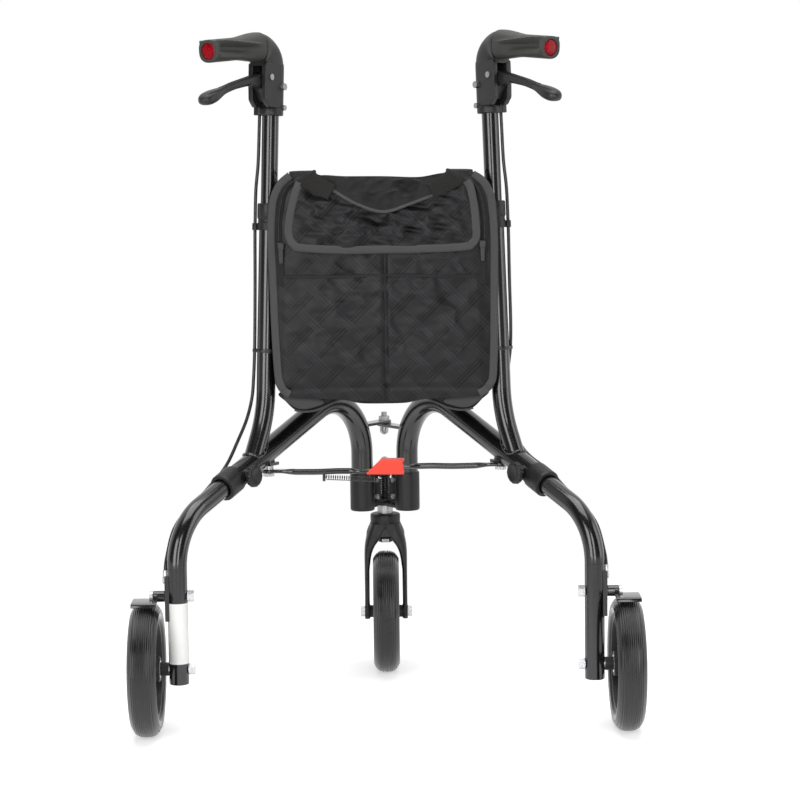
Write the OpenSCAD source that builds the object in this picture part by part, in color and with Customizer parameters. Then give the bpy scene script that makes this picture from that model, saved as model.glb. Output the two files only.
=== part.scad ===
// Three wheel rollator with a folding frame, caster front wheel, hand brakes and a bag.
// Millimetres. +X is the right of the user, +Y is forward, +Z is up, the floor is z = 0.
// Each side frame is drawn in a plane of its own: x outward from the fold axis, y towards the
// inside, z up. The left frame is turned into place and the right frame is its mirror image.

/* [Frame] */
// Half of the angle between the side frames when open
open_angle = 34; // [30:0.5:38]
// Distance of the front post from the fold axis
post_reach = 56; // [54:1:64]
// Distance of the leg from the fold axis
leg_reach = 468; // [440:1:500]
// Height at which the sloping tube would meet the leg
knee_z = 266; // [250:1:280]
// Slope of the main tube below the horizontal
main_slope = 20.7; // [18:0.1:23]
// Outer diameter of the main tube
main_d = 30; // [28:0.5:32]
// Wall of the main tube
main_wall = 2; // [1.5:0.1:2.2]
// Bend radius of the arch, to the centre line
arch_r = 77; // [70:1:84]

/* [Legs] */
// Outer diameter of the leg tube
leg_d = 25; // [22:0.5:25.5]
// Wall of the leg tube
leg_wall = 2; // [1.5:0.1:3]
// Bend radius of the leg, to the centre line
leg_r = 76; // [65:1:80]
// Height of the leg's open end
leg_foot_z = 66; // [60:1:70]
// Outer diameter of the leg collar
collar_d = 36; // [35:0.5:39]
// Length of the leg collar along the tube
collar_len = 30; // [26:1:38]
// Diameter of the hand knob
knob_d = 29; // [24:1:34]
// Thickness of the hand knob
knob_t = 10; // [8:1:14]

/* [Uprights] */
// Distance of the upright's bend from the fold axis
upright_reach = 275.6; // [268:0.2:284]
// Height of the upright's bend above the middle of the main tube
bend_rise = 81.3; // [74:0.1:90]
// Bend radius of the upright, to the centre line
upright_r = 150; // [140:1:160]
// Lean of the upright towards the front
upright_lean = 3.3; // [2:0.1:4]
// Outer diameter of the upright
upright_d = 25; // [24.6:0.1:26]
// Length of the straight upright
upright_len = 240; // [220:1:250]
// Outer diameter of the handle tube
handle_d = 22; // [20:0.5:22.2]
// Wall of the handle tube
handle_wall = 1.5; // [1:0.1:2.5]

/* [Handles] */
// Distance along the upright from its bend to the foot of the brake housing
housing_h = 361; // [350:1:380]
// Height of the brake housing along the upright
housing_len = 98; // [94:1:104]
// Width of the brake housing in the plane of the frame
housing_w = 45; // [42:0.5:50]
// Thickness of the brake housing
housing_t = 29; // [28:0.5:32]
// Length of the grip from the elbow to its end
grip_len = 104; // [90:1:115]
// Height of the grip
grip_h = 32; // [28:0.5:34]
// Width of the grip
grip_w = 37; // [32:0.5:40]
// Droop of the grip towards its end
grip_droop = 4.3; // [2:0.1:6]
// Diameter of the round reflector
reflector_d = 20; // [16:0.5:22]
// Length of the brake lever from its pivot
lever_len = 132; // [115:1:138]
// Droop of the brake lever at rest
lever_droop = 11.5; // [10:0.5:16]
// Diameter of the brake cable
cable_d = 4.4; // [4:0.2:5]

/* [Wheels] */
// Diameter of every wheel
wheel_d = 170; // [160:1:176]
// Width of the tyre
tyre_w = 36; // [32:1:38]
// Height of the tyre's section
tyre_h = 22; // [16:1:26]
// Distance of the rear wheel's middle from the leg's middle
wheel_out = 40.5; // [39:0.5:46]
// Diameter of the wheel axles
axle_d = 8; // [7:0.5:10]
// Distance of the front axle behind the fold axis
trail = 40; // [30:1:46]

/* [Fork] */
// Height of the fork's crown above the floor
crown_z = 218; // [214:1:220]
// Width of the crown at its top
crown_w = 42; // [38:1:46]
// Width of the fork outside its arms
fork_w = 60; // [56:1:64]
// Thickness of the fork's arms
arm_t = 7; // [5:0.5:8]

/* [Hinge] */
// Diameter of the fold shaft
shaft_d = 10; // [8:0.5:11]
// Height of the foot of the hinge blocks
block_z = 230; // [227:0.5:234]
// Height of the hinge blocks
block_h = 54; // [50:1:58]
// Wall of the hinge block around the post
block_wall = 2; // [1.5:0.1:2.7]
// Height of the upper pivot above the start of the arch
plate_rise = 36; // [30:0.1:40]
// Thickness of the upper pivot plates
plate_t = 4; // [3:0.5:6]

/* [Crossbar] */
// Distance of the crossbar's bolt from the fold axis
link_reach = 273; // [266:1:278]
// Drop of the crossbar bracket's underside below the main tube
tab_drop = 3.65; // [2.5:0.05:5]
// Diameter of the crossbar's rods
rod_d = 8; // [7:0.5:9]
// Thickness of the flattened rod ends
eye_t = 4.6; // [3:0.2:5]
// Angle of the links when the frame is open
link_bow = 5; // [4:0.5:8]
// Length of the latch
latch_len = 53; // [46:1:58]
// Height of the latch
latch_h = 19; // [17:0.5:22]

/* [Brakes] */
// Height of the brake arm's pivot above the wheel
brake_rise = 8; // [8:0.5:12]
// Gap between the brake shoe and the tyre
shoe_gap = 4; // [4:0.5:7]
// Thickness of the brake shoe plate
shoe_t = 3; // [2:0.5:4]

/* [Bag] */
// Width of the bag across its back panel
bag_w = 300; // [280:2:304]
// Height of the bag
bag_h = 296; // [260:2:300]
// Depth of the bag's body
bag_deep = 110; // [90:2:130]
// Height of the bag's lowest point above the arch
bag_lift = 3.7; // [1:0.1:14]

/* [Hidden] */
$fn = 48;
// Colours of the finishes
black_paint = [0.05, 0.05, 0.055];
black_plastic = [0.12, 0.12, 0.125];
grey_plastic = [0.2, 0.2, 0.21];
black_rubber = [0.08, 0.08, 0.08];
zinc = [0.75, 0.76, 0.78];
signal_red = [0.9, 0.2, 0.15];
reflector_red = [0.75, 0.05, 0.05];
bag_black = [0.09, 0.09, 0.09];
// How far a cut runs past the face that it opens
over = 1;
// Running clearance of a turning or sliding fit, on the radius
run = 0.06;
// Room between faces of different bodies
room = 0.4;
// Room between a soft piece and what carries it
seat = 0.3;

// Where the bent tubes run
arch_turn = 90 + main_slope;
arch_x = post_reach + arch_r;
arch_z = knee_z + (leg_reach - post_reach) * tan(main_slope) - arch_r * tan(arch_turn / 2);
plate_z = arch_z + plate_rise;
link_z = knee_z + (leg_reach - link_reach) * tan(main_slope) - main_d / 2 / cos(main_slope) - tab_drop;
bag_z = arch_z + arch_r + main_d / 2 + bag_lift;
arch_u = (leg_reach - post_reach) / cos(main_slope) - arch_r * tan(arch_turn / 2);
leg_turn = 90 - main_slope;
leg_tangent = leg_r * tan(leg_turn / 2);
leg_bend_z = knee_z - leg_tangent;
// The collar is the mouth of the main tube, and the leg runs on in that tube past the clamp
collar_gap = 48.5;
collar_u = leg_tangent + collar_gap;
main_end_u = collar_u + collar_len / 3;
clamp_gap = 8;
clamp_u = collar_u + collar_len + clamp_gap;
leg_stub = clamp_u + collar_len / 2 - leg_tangent;
upright_bend_z = knee_z + (leg_reach - upright_reach) * tan(main_slope) + bend_rise;
upright_x = upright_reach + upright_r * cos(upright_lean);
upright_z = upright_bend_z + upright_r * sin(upright_lean);
upright_turn = 24;
upright_end = 180 + upright_lean + upright_turn;
tube_sides = 32;
arch_steps = 15;
upright_steps = 6;

// Where the whole stands: the origin is under the middle of the box around it
leg_x = leg_reach * sin(open_angle);
leg_back = leg_reach * cos(open_angle);
axis_y = (leg_back + trail) / 2;
leg_y = axis_y - leg_back;
wheel_r = wheel_d / 2;
brake_z = wheel_d + brake_rise;

// Turns the frame's plane into its place on the left
module on_left() {
  translate([0, axis_y, 0])
    rotate([0, 0, -90 - open_angle])
      children();
}

// The mirror image on the right
module on_right() {
  mirror([1, 0, 0])
    on_left()
      children();
}

// Runs up the sloping tube from the knee, z along the tube
module on_slope(along) {
  translate([leg_reach, 0, knee_z])
    rotate([0, main_slope - 90, 0])
      translate([0, 0, along])
        children();
}

// Runs up the upright from its bend, z along the tube
module on_upright(along) {
  translate([upright_reach, 0, upright_bend_z])
    rotate([0, -upright_lean, 0])
      translate([0, 0, along])
        children();
}

// Lays a shape that was drawn along z along x
module along_x() {
  rotate([0, 90, 0])
    children();
}

// Lays a shape that was drawn along z along y
module along_y() {
  rotate([-90, 0, 0])
    children();
}

// Section of a tube
module ring(d, wall) {
  difference() {
    circle(d = d);
    circle(d = d - 2 * wall);
  }
}

// Straight tube along z
module pipe(d, wall, len) {
  linear_extrude(len)
    ring(d, wall);
}

// Washer, sleeve or bush along z
module sleeve(d, bore, len) {
  difference() {
    cylinder(d = d, h = len);
    translate([0, 0, -over])
      cylinder(d = bore, h = len + 2 * over);
  }
}

// Bent tube in the frame's plane, from one angle to another
module elbow(r, d, wall, from, to) {
  rotate([90, 0, 0])
    rotate([0, 0, from])
      rotate_extrude(angle = to - from)
        translate([r, 0])
          ring(d, wall);
}

// Hexagon nut or bolt head along z
module hexagon(across, len) {
  cylinder(d = across / cos(30), h = len, $fn = 6);
}

// Rectangle with round corners
module round_rect(w, h, r) {
  square([w - 2 * r, h], center = true);
  square([w, h - 2 * r], center = true);
  for (x = [-1, 1], y = [-1, 1])
    translate([x * (w / 2 - r), y * (h / 2 - r)])
      circle(r = r);
}

// Bar with round ends between two points of a plane
module link_bar(a, b, w) {
  along = b - a;
  translate(a)
    rotate(atan2(along[1], along[0]))
      translate([0, -w / 2])
        square([norm(along), w]);
  for (p = [a, b])
    translate(p)
      circle(d = w);
}

// Points on a smooth line through a list of points, with a number of steps between each pair
function curve_point(p0, p1, p2, p3, t) =
  (2 * p1 + t * (p2 - p0) + t * t * (2 * p0 - 5 * p1 + 4 * p2 - p3)
    + t * t * t * (3 * p1 - p0 - 3 * p2 + p3)) / 2;
function smooth(points, steps) = [
  for (i = [0 : len(points) - 2], s = [0 : steps - 1])
    curve_point(points[max(i - 1, 0)], points[i], points[i + 1],
      points[min(i + 2, len(points) - 1)], s / steps),
  points[len(points) - 1]
];

// Unit vector
function unit(v) = v / norm(v);

// Direction of a line at one of its points
function heading(line, i) =
  unit(line[min(i + 1, len(line) - 1)] - line[max(i - 1, 0)]);

// Tube around a line, as one closed skin of triangles; aside gives the section's first axis
module tube_along(line, d, sides, asides) {
  n = len(line);
  points = [
    for (i = [0 : n - 1])
      let (t = heading(line, i), u = unit(cross(t, asides[i])), v = cross(t, u))
        for (k = [0 : sides - 1])
          line[i] + d / 2 * (cos(k * 360 / sides) * u + sin(k * 360 / sides) * v)
  ];
  skin = [
    for (i = [0 : n - 2], k = [0 : sides - 1])
      let (a = i * sides + k, b = i * sides + (k + 1) % sides)
        each [[a, a + sides, b], [b, a + sides, b + sides]]
  ];
  first = [for (k = [1 : sides - 2]) [0, k, k + 1]];
  end = (n - 1) * sides;
  last = [for (k = [1 : sides - 2]) [end, end + k + 1, end + k]];
  polyhedron(points, concat(first, skin, last));
}

// Round section about a point of the frame's plane, begun at the normal n
function round_at(p, n, d) = [
  for (k = [0 : tube_sides - 1])
    p + d / 2 * (cos(k * 360 / tube_sides) * n + sin(k * 360 / tube_sides) * [0, 1, 0])
];

// Open tube skinned over matching lists of outer and inner sections
module bent_tube(outer, inner) {
  n = len(outer);
  s = tube_sides;
  shift = n * s;
  skin = [
    for (i = [0 : n - 2], k = [0 : s - 1])
      let (a = i * s + k, b = i * s + (k + 1) % s)
        each [
          [a, b, b + s, a + s],
          [a + shift, a + s + shift, b + s + shift, b + shift]
        ]
  ];
  ends = [
    for (k = [0 : s - 1])
      let (b = (k + 1) % s, e = (n - 1) * s)
        each [
          [b, k, k + shift, b + shift],
          [k + e, b + e, b + e + shift, k + e + shift]
        ]
  ];
  points = concat([for (r = outer) each r], [for (r = inner) each r]);
  polyhedron(points, concat(skin, ends));
}

// Centre line of a coil spring along z, with straight ends of one wire diameter
function coil(r, wire, curls, len) =
  let (steps = 8, n = curls * steps,
    turn = [for (i = [0 : n])
      [r * cos(i * 360 / steps), r * sin(i * 360 / steps), wire / 2 + (len - wire) * i / n]])
    concat([turn[0] - [0, wire, 0]], turn, [turn[n] + [0, wire, 0]]);

// Least gap between points of a coil that lie half a curl or more apart
function coil_gap(line, wire) =
  min([for (i = [0 : len(line) - 6], j = [i + 5 : len(line) - 1]) norm(line[i] - line[j])]) - wire;

// Front column: shaft, spring and nuts on the fold axis

ear_t = 5;
ear_d = 26;
ear_w = 16;
nut_across = 17;
nut_t = 5.6;
washer_d = 22;
dome_d = 12;
dome_h = 9;
ear_low = [block_z + ear_t + room, block_z];
ear_high = [block_z + block_h - 2 * ear_t - room, block_z + block_h - ear_t];
spring_z = ear_low[0] + ear_t + room;
spring_len = ear_high[0] - room - spring_z;
spring_wire = 2;
spring_r = 7.3;
spring_curls = 10;
crown_floor_drop = 35;
crown_floor_z = crown_z - crown_floor_drop;
shaft_foot_z = crown_floor_z - room - nut_t;
shaft_top_z = block_z + block_h + room + ear_t;

// Stands on the fold axis
module on_axis(z) {
  translate([0, axis_y, z])
    children();
}

// Round shaft that both frames and the fork turn on
module pivot_shaft() {
  color(zinc)
    on_axis(shaft_foot_z)
      cylinder(d = shaft_d, h = shaft_top_z - shaft_foot_z);
}

// Washers, lower nut and dome nut of the shaft
module shaft_nuts() {
  color(zinc) {
    on_axis(crown_z + room)
      sleeve(washer_d, shaft_d, block_z - crown_z - 2 * room);
    on_axis(shaft_foot_z)
      difference() {
        hexagon(nut_across, nut_t);
        translate([0, 0, -over])
          cylinder(d = shaft_d, h = nut_t + 2 * over);
      }
    on_axis(block_z + block_h + room)
      sleeve(washer_d, shaft_d, ear_t);
    on_axis(shaft_top_z) {
      cylinder(d = dome_d, h = dome_h - dome_d / 2);
      translate([0, 0, dome_h - dome_d / 2])
        intersection() {
          sphere(d = dome_d);
          cylinder(d = dome_d, h = dome_d);
        }
    }
  }
}

spring_line = coil(spring_r, spring_wire, spring_curls, spring_len);
echo(column_spring_gap = coil_gap(spring_line, spring_wire));

// Coil spring around the shaft, between the ears of the hinge blocks
module column_spring() {
  color(black_paint)
    on_axis(spring_z)
      tube_along(spring_line, spring_wire, 6, [for (p = spring_line) [0, 0, 1]]);
}

// Front caster

fork_shoulder_w = 53;
fork_shoulder_drop = 26;
fork_shoulder_z = crown_z - fork_shoulder_drop;
fork_straight_drop = 53;
fork_straight_z = crown_z - fork_straight_drop;
fork_depth = 40;
crown_neck = 11;
arch_shoulder = 17.5;
arch_shoulder_drop = 40;
arch_shoulder_z = crown_z - arch_shoulder_drop;
axle_eye = 11;
fork_lip = 2;

// Outline of the fork seen from behind
module fork_front() {
  difference() {
    polygon([
      for (s = [1, -1])
        each let (side = [
          [crown_w / 2, crown_z],
          [fork_shoulder_w / 2, fork_shoulder_z],
          [fork_w / 2, fork_straight_z],
          [fork_w / 2, 0]
        ])
          [for (i = [0 : len(side) - 1])
            let (p = side[s > 0 ? i : len(side) - 1 - i]) [s * p[0], p[1]]]
    ]);
    polygon([
      for (s = [1, -1])
        each let (side = [
          [crown_neck, crown_floor_z],
          [arch_shoulder, arch_shoulder_z],
          [fork_w / 2 - arm_t - fork_lip / 2, fork_straight_z],
          [fork_w / 2 - arm_t, fork_straight_z - axle_eye],
          [fork_w / 2 - arm_t, -over]
        ])
          [for (i = [0 : len(side) - 1])
            let (p = side[s > 0 ? i : len(side) - 1 - i]) [s * p[0], p[1]]]
    ]);
  }
}

// Outline of the fork seen from its side, forward along x
module fork_side() {
  polygon([
    [fork_depth / 2, crown_z],
    [-fork_depth / 2, crown_z],
    [-fork_depth / 2 - fork_lip, fork_shoulder_z],
    [-trail - axle_eye, wheel_r],
    [-trail + axle_eye, wheel_r],
    [fork_depth / 2 - fork_lip, fork_shoulder_z]
  ]);
  translate([-trail, wheel_r])
    circle(r = axle_eye);
}

// Caster fork with two arms
module fork() {
  color(black_plastic)
    difference() {
      intersection() {
        on_axis(0)
          rotate([90, 0, 0])
            linear_extrude(wheel_d, center = true)
              fork_front();
        on_axis(0)
          rotate([90, 0, 90])
            linear_extrude(wheel_d, center = true)
              fork_side();
      }
      on_axis(0)
        cylinder(d = shaft_d + 2 * run, h = crown_z + over);
      translate([0, axis_y - trail, wheel_r])
        along_x()
          cylinder(d = axle_d + 2 * run, h = wheel_d, center = true);
    }
}

// Wheels, drawn along z around their own middle

hub_d = 32;
hub_w = 34;
hub_bore = 15;
bearing_d = 22;
bearing_w = 7;
rim_t = 7;
rim_w = 29;
spoke_w = 15;
spoke_t = 13;
spokes = 5;
tyre_round = 8;
rim_r = wheel_r - tyre_h;

// Rubber tyre
module tyre() {
  color(black_rubber)
    rotate_extrude()
      translate([rim_r + tyre_h / 2, 0])
        round_rect(tyre_h, tyre_w, tyre_round);
}

// Moulded rim with its hub and spokes
module rim() {
  color(black_plastic)
    difference() {
      union() {
        cylinder(d = hub_d, h = hub_w, center = true);
        translate([0, 0, -rim_w / 2])
          sleeve(2 * rim_r, 2 * (rim_r - rim_t), rim_w);
        for (i = [0 : spokes - 1])
          rotate(i * 360 / spokes)
            translate([rim_r / 2 - rim_t / 4, 0, 0])
              cube([rim_r - rim_t / 2, spoke_w, spoke_t], center = true);
      }
      cylinder(d = hub_bore, h = hub_w + 2 * over, center = true);
      for (s = [-1, 1])
        translate([0, 0, s * hub_w / 2])
          cylinder(d = bearing_d, h = 2 * bearing_w, center = true);
    }
}

// Pair of ball bearings pressed into the hub
module bearings() {
  color(zinc)
    for (s = [0, 1])
      mirror([0, 0, s])
        translate([0, 0, hub_w / 2 - bearing_w])
          sleeve(bearing_d, axle_d + 2 * run, bearing_w);
}

// Carries a wheel piece to the front axle
module at_front_wheel() {
  translate([0, axis_y - trail, wheel_r])
    along_x()
      children();
}

axle_nut_t = 6;
axle_nut_across = 13;

// Front axle with a nut and a spacer at each end
module front_axle() {
  color(zinc)
    at_front_wheel() {
      cylinder(d = axle_d, h = fork_w + 2 * axle_nut_t, center = true);
      for (s = [0, 1])
        mirror([0, 0, s]) {
          translate([0, 0, fork_w / 2])
            hexagon(axle_nut_across, axle_nut_t);
          translate([0, 0, hub_w / 2 + room])
            cylinder(d = axle_nut_across, h = fork_w / 2 - arm_t - hub_w / 2 - room);
        }
    }
}

// Side frames, drawn in the plane of the frame

block_floor = 4;
block_d = main_d + 2 * block_wall;
rib_reach = 24;
rib_t = 10;
post_z = block_z + block_floor;
tab_w = 20;
tab_t = 4;
tab_bite = 1.6;
tab_web = 6;
link_bolt_d = 6;
screw_reach = 30;
screw_d = 4;
screw_head_d = 7;
screw_head_t = 3;
screw_z_shares = [0.29, 0.72];

// The straight sloping stretch of the main tube as a solid bar
module slope_bar(d) {
  on_slope(main_end_u)
    cylinder(d = d, h = arch_u - main_end_u);
}

// Sections of the main tube from the post over the arch to the collar
function main_sections(d) =
  let (down = [sin(main_slope), 0, cos(main_slope)],
    foot = [leg_reach - main_end_u * cos(main_slope), 0, knee_z + main_end_u * sin(main_slope)])
    concat(
      [round_at([post_reach, 0, post_z], [-1, 0, 0], d)],
      [for (i = [0 : arch_steps])
        let (a = 180 - arch_turn * i / arch_steps, n = [cos(a), 0, sin(a)])
          round_at([arch_x, 0, arch_z] + arch_r * n, n, d)],
      [round_at(foot, down, d)]);

// Arched tube from the hinge block to the leg collar
module main_tube() {
  color(black_paint)
    bent_tube(main_sections(main_d), main_sections(main_d - 2 * main_wall));
}

// Bracket welded under the main tube, for the bolt of the crossbar
module link_tab() {
  color(black_paint)
    difference() {
      union() {
        translate([link_reach - tab_w / 2, -tab_w / 2, link_z])
          cube([tab_w, tab_w, tab_t]);
        translate([link_reach - tab_w / 2, -tab_web / 2, link_z])
          cube([tab_w, tab_web, main_d / 2]);
      }
      slope_bar(main_d);
      translate([link_reach, 0, link_z - over])
        cylinder(d = link_bolt_d + 2 * run, h = tab_t + over);
    }
}

// Moulded block on the front post, with two ears around the shaft
module hinge_block(side) {
  color(black_plastic)
    difference() {
      union() {
        translate([post_reach, 0, block_z])
          cylinder(d = block_d, h = block_h);
        translate([rib_reach, -rib_t / 2, block_z])
          cube([post_reach - rib_reach, rib_t, block_h]);
        for (z = [ear_low[side], ear_high[side]]) {
          translate([0, 0, z])
            cylinder(d = ear_d, h = ear_t);
          translate([0, -ear_w / 2, z])
            cube([post_reach, ear_w, ear_t]);
        }
      }
      translate([post_reach, 0, post_z])
        cylinder(d = main_d, h = block_h);
      translate([0, 0, block_z - over])
        cylinder(d = shaft_d + 2 * run, h = block_h + 2 * over);
      for (share = screw_z_shares)
        translate([screw_reach, 0, block_z + share * block_h])
          along_y()
            cylinder(d = screw_d, h = rib_t);
    }
}

plate_w = 20;
plate_bolt_d = 8;
plate_low = [plate_z + room / 2, plate_z - room / 2 - plate_t];
plate_end = arch_x - sqrt(arch_r * arch_r - (plate_z - arch_z) * (plate_z - arch_z));

// Flat plate from the arch to the upper pivot
module pivot_plate(side) {
  color(black_paint)
    difference() {
      translate([0, 0, plate_low[side]])
        linear_extrude(plate_t)
          difference() {
            link_bar([0, 0], [plate_end, 0], plate_w);
            circle(d = plate_bolt_d + 2 * run);
          }
      translate([arch_x, 0, arch_z])
        rotate([90, 0, 0])
          rotate([0, 0, 90])
            rotate_extrude(angle = 90)
              translate([arch_r, 0])
                circle(d = main_d);
    }
}

// Bolt, nut and dome nut of the upper pivot
module upper_bolt() {
  foot = plate_low[1] - room;
  top = plate_low[0] + plate_t;
  color(zinc)
    on_axis(0) {
      translate([0, 0, foot])
        cylinder(d = plate_bolt_d, h = top - foot + 2 * nut_t);
      translate([0, 0, top])
        hexagon(axle_nut_across, nut_t);
      translate([0, 0, foot - dome_d / 2])
        cylinder(d = dome_d, h = dome_d / 2);
      translate([0, 0, foot - dome_d / 2])
        sphere(d = dome_d);
    }
}

handle_room = 0.3;
upright_wall = (upright_d - handle_d) / 2 - handle_room;

// Section of the upright's bend at an angle
function upright_section(a, d) =
  let (n = [-cos(a), 0, -sin(a)])
    round_at([upright_x, 0, upright_z] - upright_r * n, n, d);

// Foot of the upright, each point run on to the main tube's surface
function coped_section(d) =
  let (along = [-sin(upright_end), 0, cos(upright_end)],
    above = [sin(main_slope), 0, cos(main_slope)],
    knee = [leg_reach, 0, knee_z])
    [for (p = upright_section(upright_end, d))
      let (lift = sqrt(main_d * main_d / 4 - p.y * p.y))
        p + along * (lift - (p - knee) * above) / (along * above)];

// Sections of the upright from its top to its coped foot
function upright_sections(d) =
  let (start = 180 + upright_lean,
    rise = upright_len * [-sin(upright_lean), 0, cos(upright_lean)])
    concat(
      [[for (p = upright_section(start, d)) p + rise]],
      [for (i = [0 : upright_steps])
        upright_section(start + upright_turn * i / upright_steps, d)],
      [coped_section(d)]);

// Upright tube, bent outward at its foot and coped onto the main tube
module upright_tube() {
  color(black_paint)
    bent_tube(upright_sections(upright_d), upright_sections(upright_d - 2 * upright_wall));
}

bush_d = 30;
bush_len = 35;
bush_lip = 3;
clip_wall = 1.5;
clip_h = 9;
cable_out = bush_d / 2 + cable_d / 2 + seat;

// Bush in the mouth of the upright, with a clip for the cable
module height_bush() {
  color(black_plastic)
    on_upright(upright_len + bush_lip - bush_len)
      difference() {
        union() {
          cylinder(d = bush_d, h = bush_len);
          rotate(open_angle - 90)
            translate([cable_out, 0, 0])
              cylinder(d = cable_d + 2 * seat + 2 * clip_wall, h = clip_h);
        }
        translate([0, 0, -over])
          cylinder(d = upright_d, h = bush_len - bush_lip + over);
        cylinder(d = handle_d + 2 * run, h = bush_len + over);
        rotate(open_angle - 90)
          translate([cable_out, 0, -over])
            cylinder(d = cable_d + 2 * seat, h = clip_h + 2 * over);
      }
}

stud_d = 8;
boss_d = 16;
boss_h = 1.6;
knob_ribs = 12;
rib_cut_d = 3.4;

// Stands at the clamp's middle, z towards the inside
module at_clamp() {
  on_slope(clamp_u)
    along_y()
      children();
}

// Plastic collar on the mouth of the main tube, with a tongue that carries the clamp's boss
module leg_collar() {
  color(black_plastic)
    difference() {
      union() {
        on_slope(collar_u)
          cylinder(d = collar_d, h = collar_len);
        intersection() {
          on_slope(collar_u)
            cylinder(d = collar_d, h = clamp_u - collar_u + boss_d / 2);
          at_clamp()
            translate([-boss_d / 2, -clamp_u, 0])
              cube([boss_d, 2 * clamp_u, collar_d]);
        }
        at_clamp()
          cylinder(d = boss_d, h = collar_d / 2 + boss_h);
      }
      on_slope(collar_u - over)
        cylinder(d = leg_d + 2 * run, h = collar_len);
      on_slope(main_end_u)
        cylinder(d = main_d, h = collar_len + boss_d + 2 * over);
      at_clamp()
        cylinder(d = stud_d + 2 * run, h = collar_d + boss_h);
    }
}

// Hand knob with its stud
module clamp_knob() {
  color(grey_plastic)
    at_clamp() {
      translate([0, 0, main_d / 2 + room])
        cylinder(d = stud_d, h = (collar_d - main_d) / 2 + boss_h);
      translate([0, 0, collar_d / 2 + boss_h + room])
        difference() {
          cylinder(d = knob_d, h = knob_t);
          for (i = [0 : knob_ribs - 1])
            rotate(i * 360 / knob_ribs)
              translate([knob_d / 2, 0, -over])
                cylinder(d = rib_cut_d, h = knob_t + 2 * over);
        }
    }
}

// Stands under the leg: x away from the middle of the rollator, y to the rear
module at_leg(z) {
  translate([leg_reach, 0, z])
    rotate(open_angle - 90)
      children();
}

brake_bolt_d = 6;

// Bent leg with the holes of the axle and the brake bolt
module leg_tube() {
  color(black_paint)
    difference() {
      union() {
        translate([leg_reach, 0, leg_foot_z])
          pipe(leg_d, leg_wall, leg_bend_z - leg_foot_z);
        translate([leg_reach - leg_r, 0, leg_bend_z])
          elbow(leg_r, leg_d, leg_wall, 0, leg_turn);
        on_slope(leg_tangent)
          pipe(leg_d, leg_wall, leg_stub);
      }
      at_leg(wheel_r)
        along_x()
          cylinder(d = axle_d + 2 * run, h = 2 * leg_d, center = true);
      at_leg(brake_z)
        along_x()
          cylinder(d = brake_bolt_d + 2 * run, h = 2 * leg_d, center = true);
    }
}

rear_nut_t = 8;

// Rear axle with its nuts and the spacer between the leg and the hub
module rear_axle() {
  hub_in = wheel_out - hub_w / 2 - room;
  hub_out = wheel_out + hub_w / 2 + room;
  color(zinc)
    at_leg(wheel_r)
      along_x() {
        translate([0, 0, -leg_d / 2 - rear_nut_t])
          cylinder(d = axle_d, h = leg_d / 2 + hub_out + 2 * rear_nut_t);
        translate([0, 0, -leg_d / 2 - rear_nut_t])
          hexagon(axle_nut_across, rear_nut_t);
        translate([0, 0, leg_d / 2])
          cylinder(d = axle_nut_across, h = hub_in - leg_d / 2);
        translate([0, 0, hub_out])
          hexagon(axle_nut_across, rear_nut_t);
      }
}

// Carries a wheel piece to the rear axle
module at_rear_wheel() {
  at_leg(wheel_r)
    along_x()
      translate([0, 0, wheel_out])
        children();
}

bracket_t = 3;
bracket_w = 16;
bracket_low = 31;
bracket_high = 26;
bracket_bite = 2.5;
arm_boss_d = 14;
shoe_inset = 2;
shoe_from = -4;
shoe_to = 22;
shoe_mid = 9;
shoe_steps = 8;
brake_bar_w = 8;
brake_bar_t = 6;
bar_in = wheel_out - tyre_w / 2 + shoe_inset;
boss_in = leg_d / 2 + bracket_t + room;
arm_boss_w = bar_in + brake_bar_t - boss_in;

// Plate on the leg that carries the brake arm
module brake_bracket() {
  color(black_paint)
    difference() {
      at_leg(0)
        translate([0, -bracket_w / 2, brake_z - bracket_low])
          cube([leg_d / 2 + bracket_t, bracket_w, bracket_low + bracket_high]);
      translate([leg_reach, 0, 0])
        cylinder(d = leg_d, h = knee_z);
      at_leg(0)
        translate([-leg_d, -leg_d, 0])
          cube([leg_d + leg_d / 2 - bracket_bite, 2 * leg_d, knee_z]);
      at_leg(brake_z)
        along_x()
          cylinder(d = brake_bolt_d + 2 * run, h = leg_d);
    }
}

// Points along the shoe plate at one radius, by angle behind the top of the wheel
function shoe_edge(r, from, to) = [
  for (i = [0 : shoe_steps])
    let (a = from + (to - from) * i / shoe_steps)
      r * [sin(a), cos(a)]
];

// Brake arm with its boss and curved shoe plate
module brake_arm() {
  shoe_r = wheel_r + shoe_gap;
  bar_end = shoe_r + (shoe_t + brake_bar_w) / 2;
  color(black_paint)
    difference() {
      union() {
        at_leg(brake_z)
          along_x()
            translate([0, 0, boss_in])
              cylinder(d = arm_boss_d, h = arm_boss_w);
        at_leg(wheel_r)
          translate([bar_in, 0, 0])
            rotate([90, 0, 90]) {
              linear_extrude(brake_bar_t)
                link_bar([0, brake_z - wheel_r], bar_end * [sin(shoe_mid), cos(shoe_mid)], brake_bar_w);
              linear_extrude(tyre_w - 2 * shoe_inset)
                polygon(concat(shoe_edge(shoe_r, shoe_from, shoe_to),
                  shoe_edge(shoe_r + shoe_t, shoe_to, shoe_from)));
            }
      }
      at_leg(brake_z)
        along_x() {
          cylinder(d = brake_bolt_d + 2 * run, h = leg_d * 2);
          translate([0, 0, boss_in + arm_boss_w])
            cylinder(d = axle_nut_across + 2 * room, h = link_head_t + 2 * room);
        }
    }
}

// Handles, drawn in the plane of the frame

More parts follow.
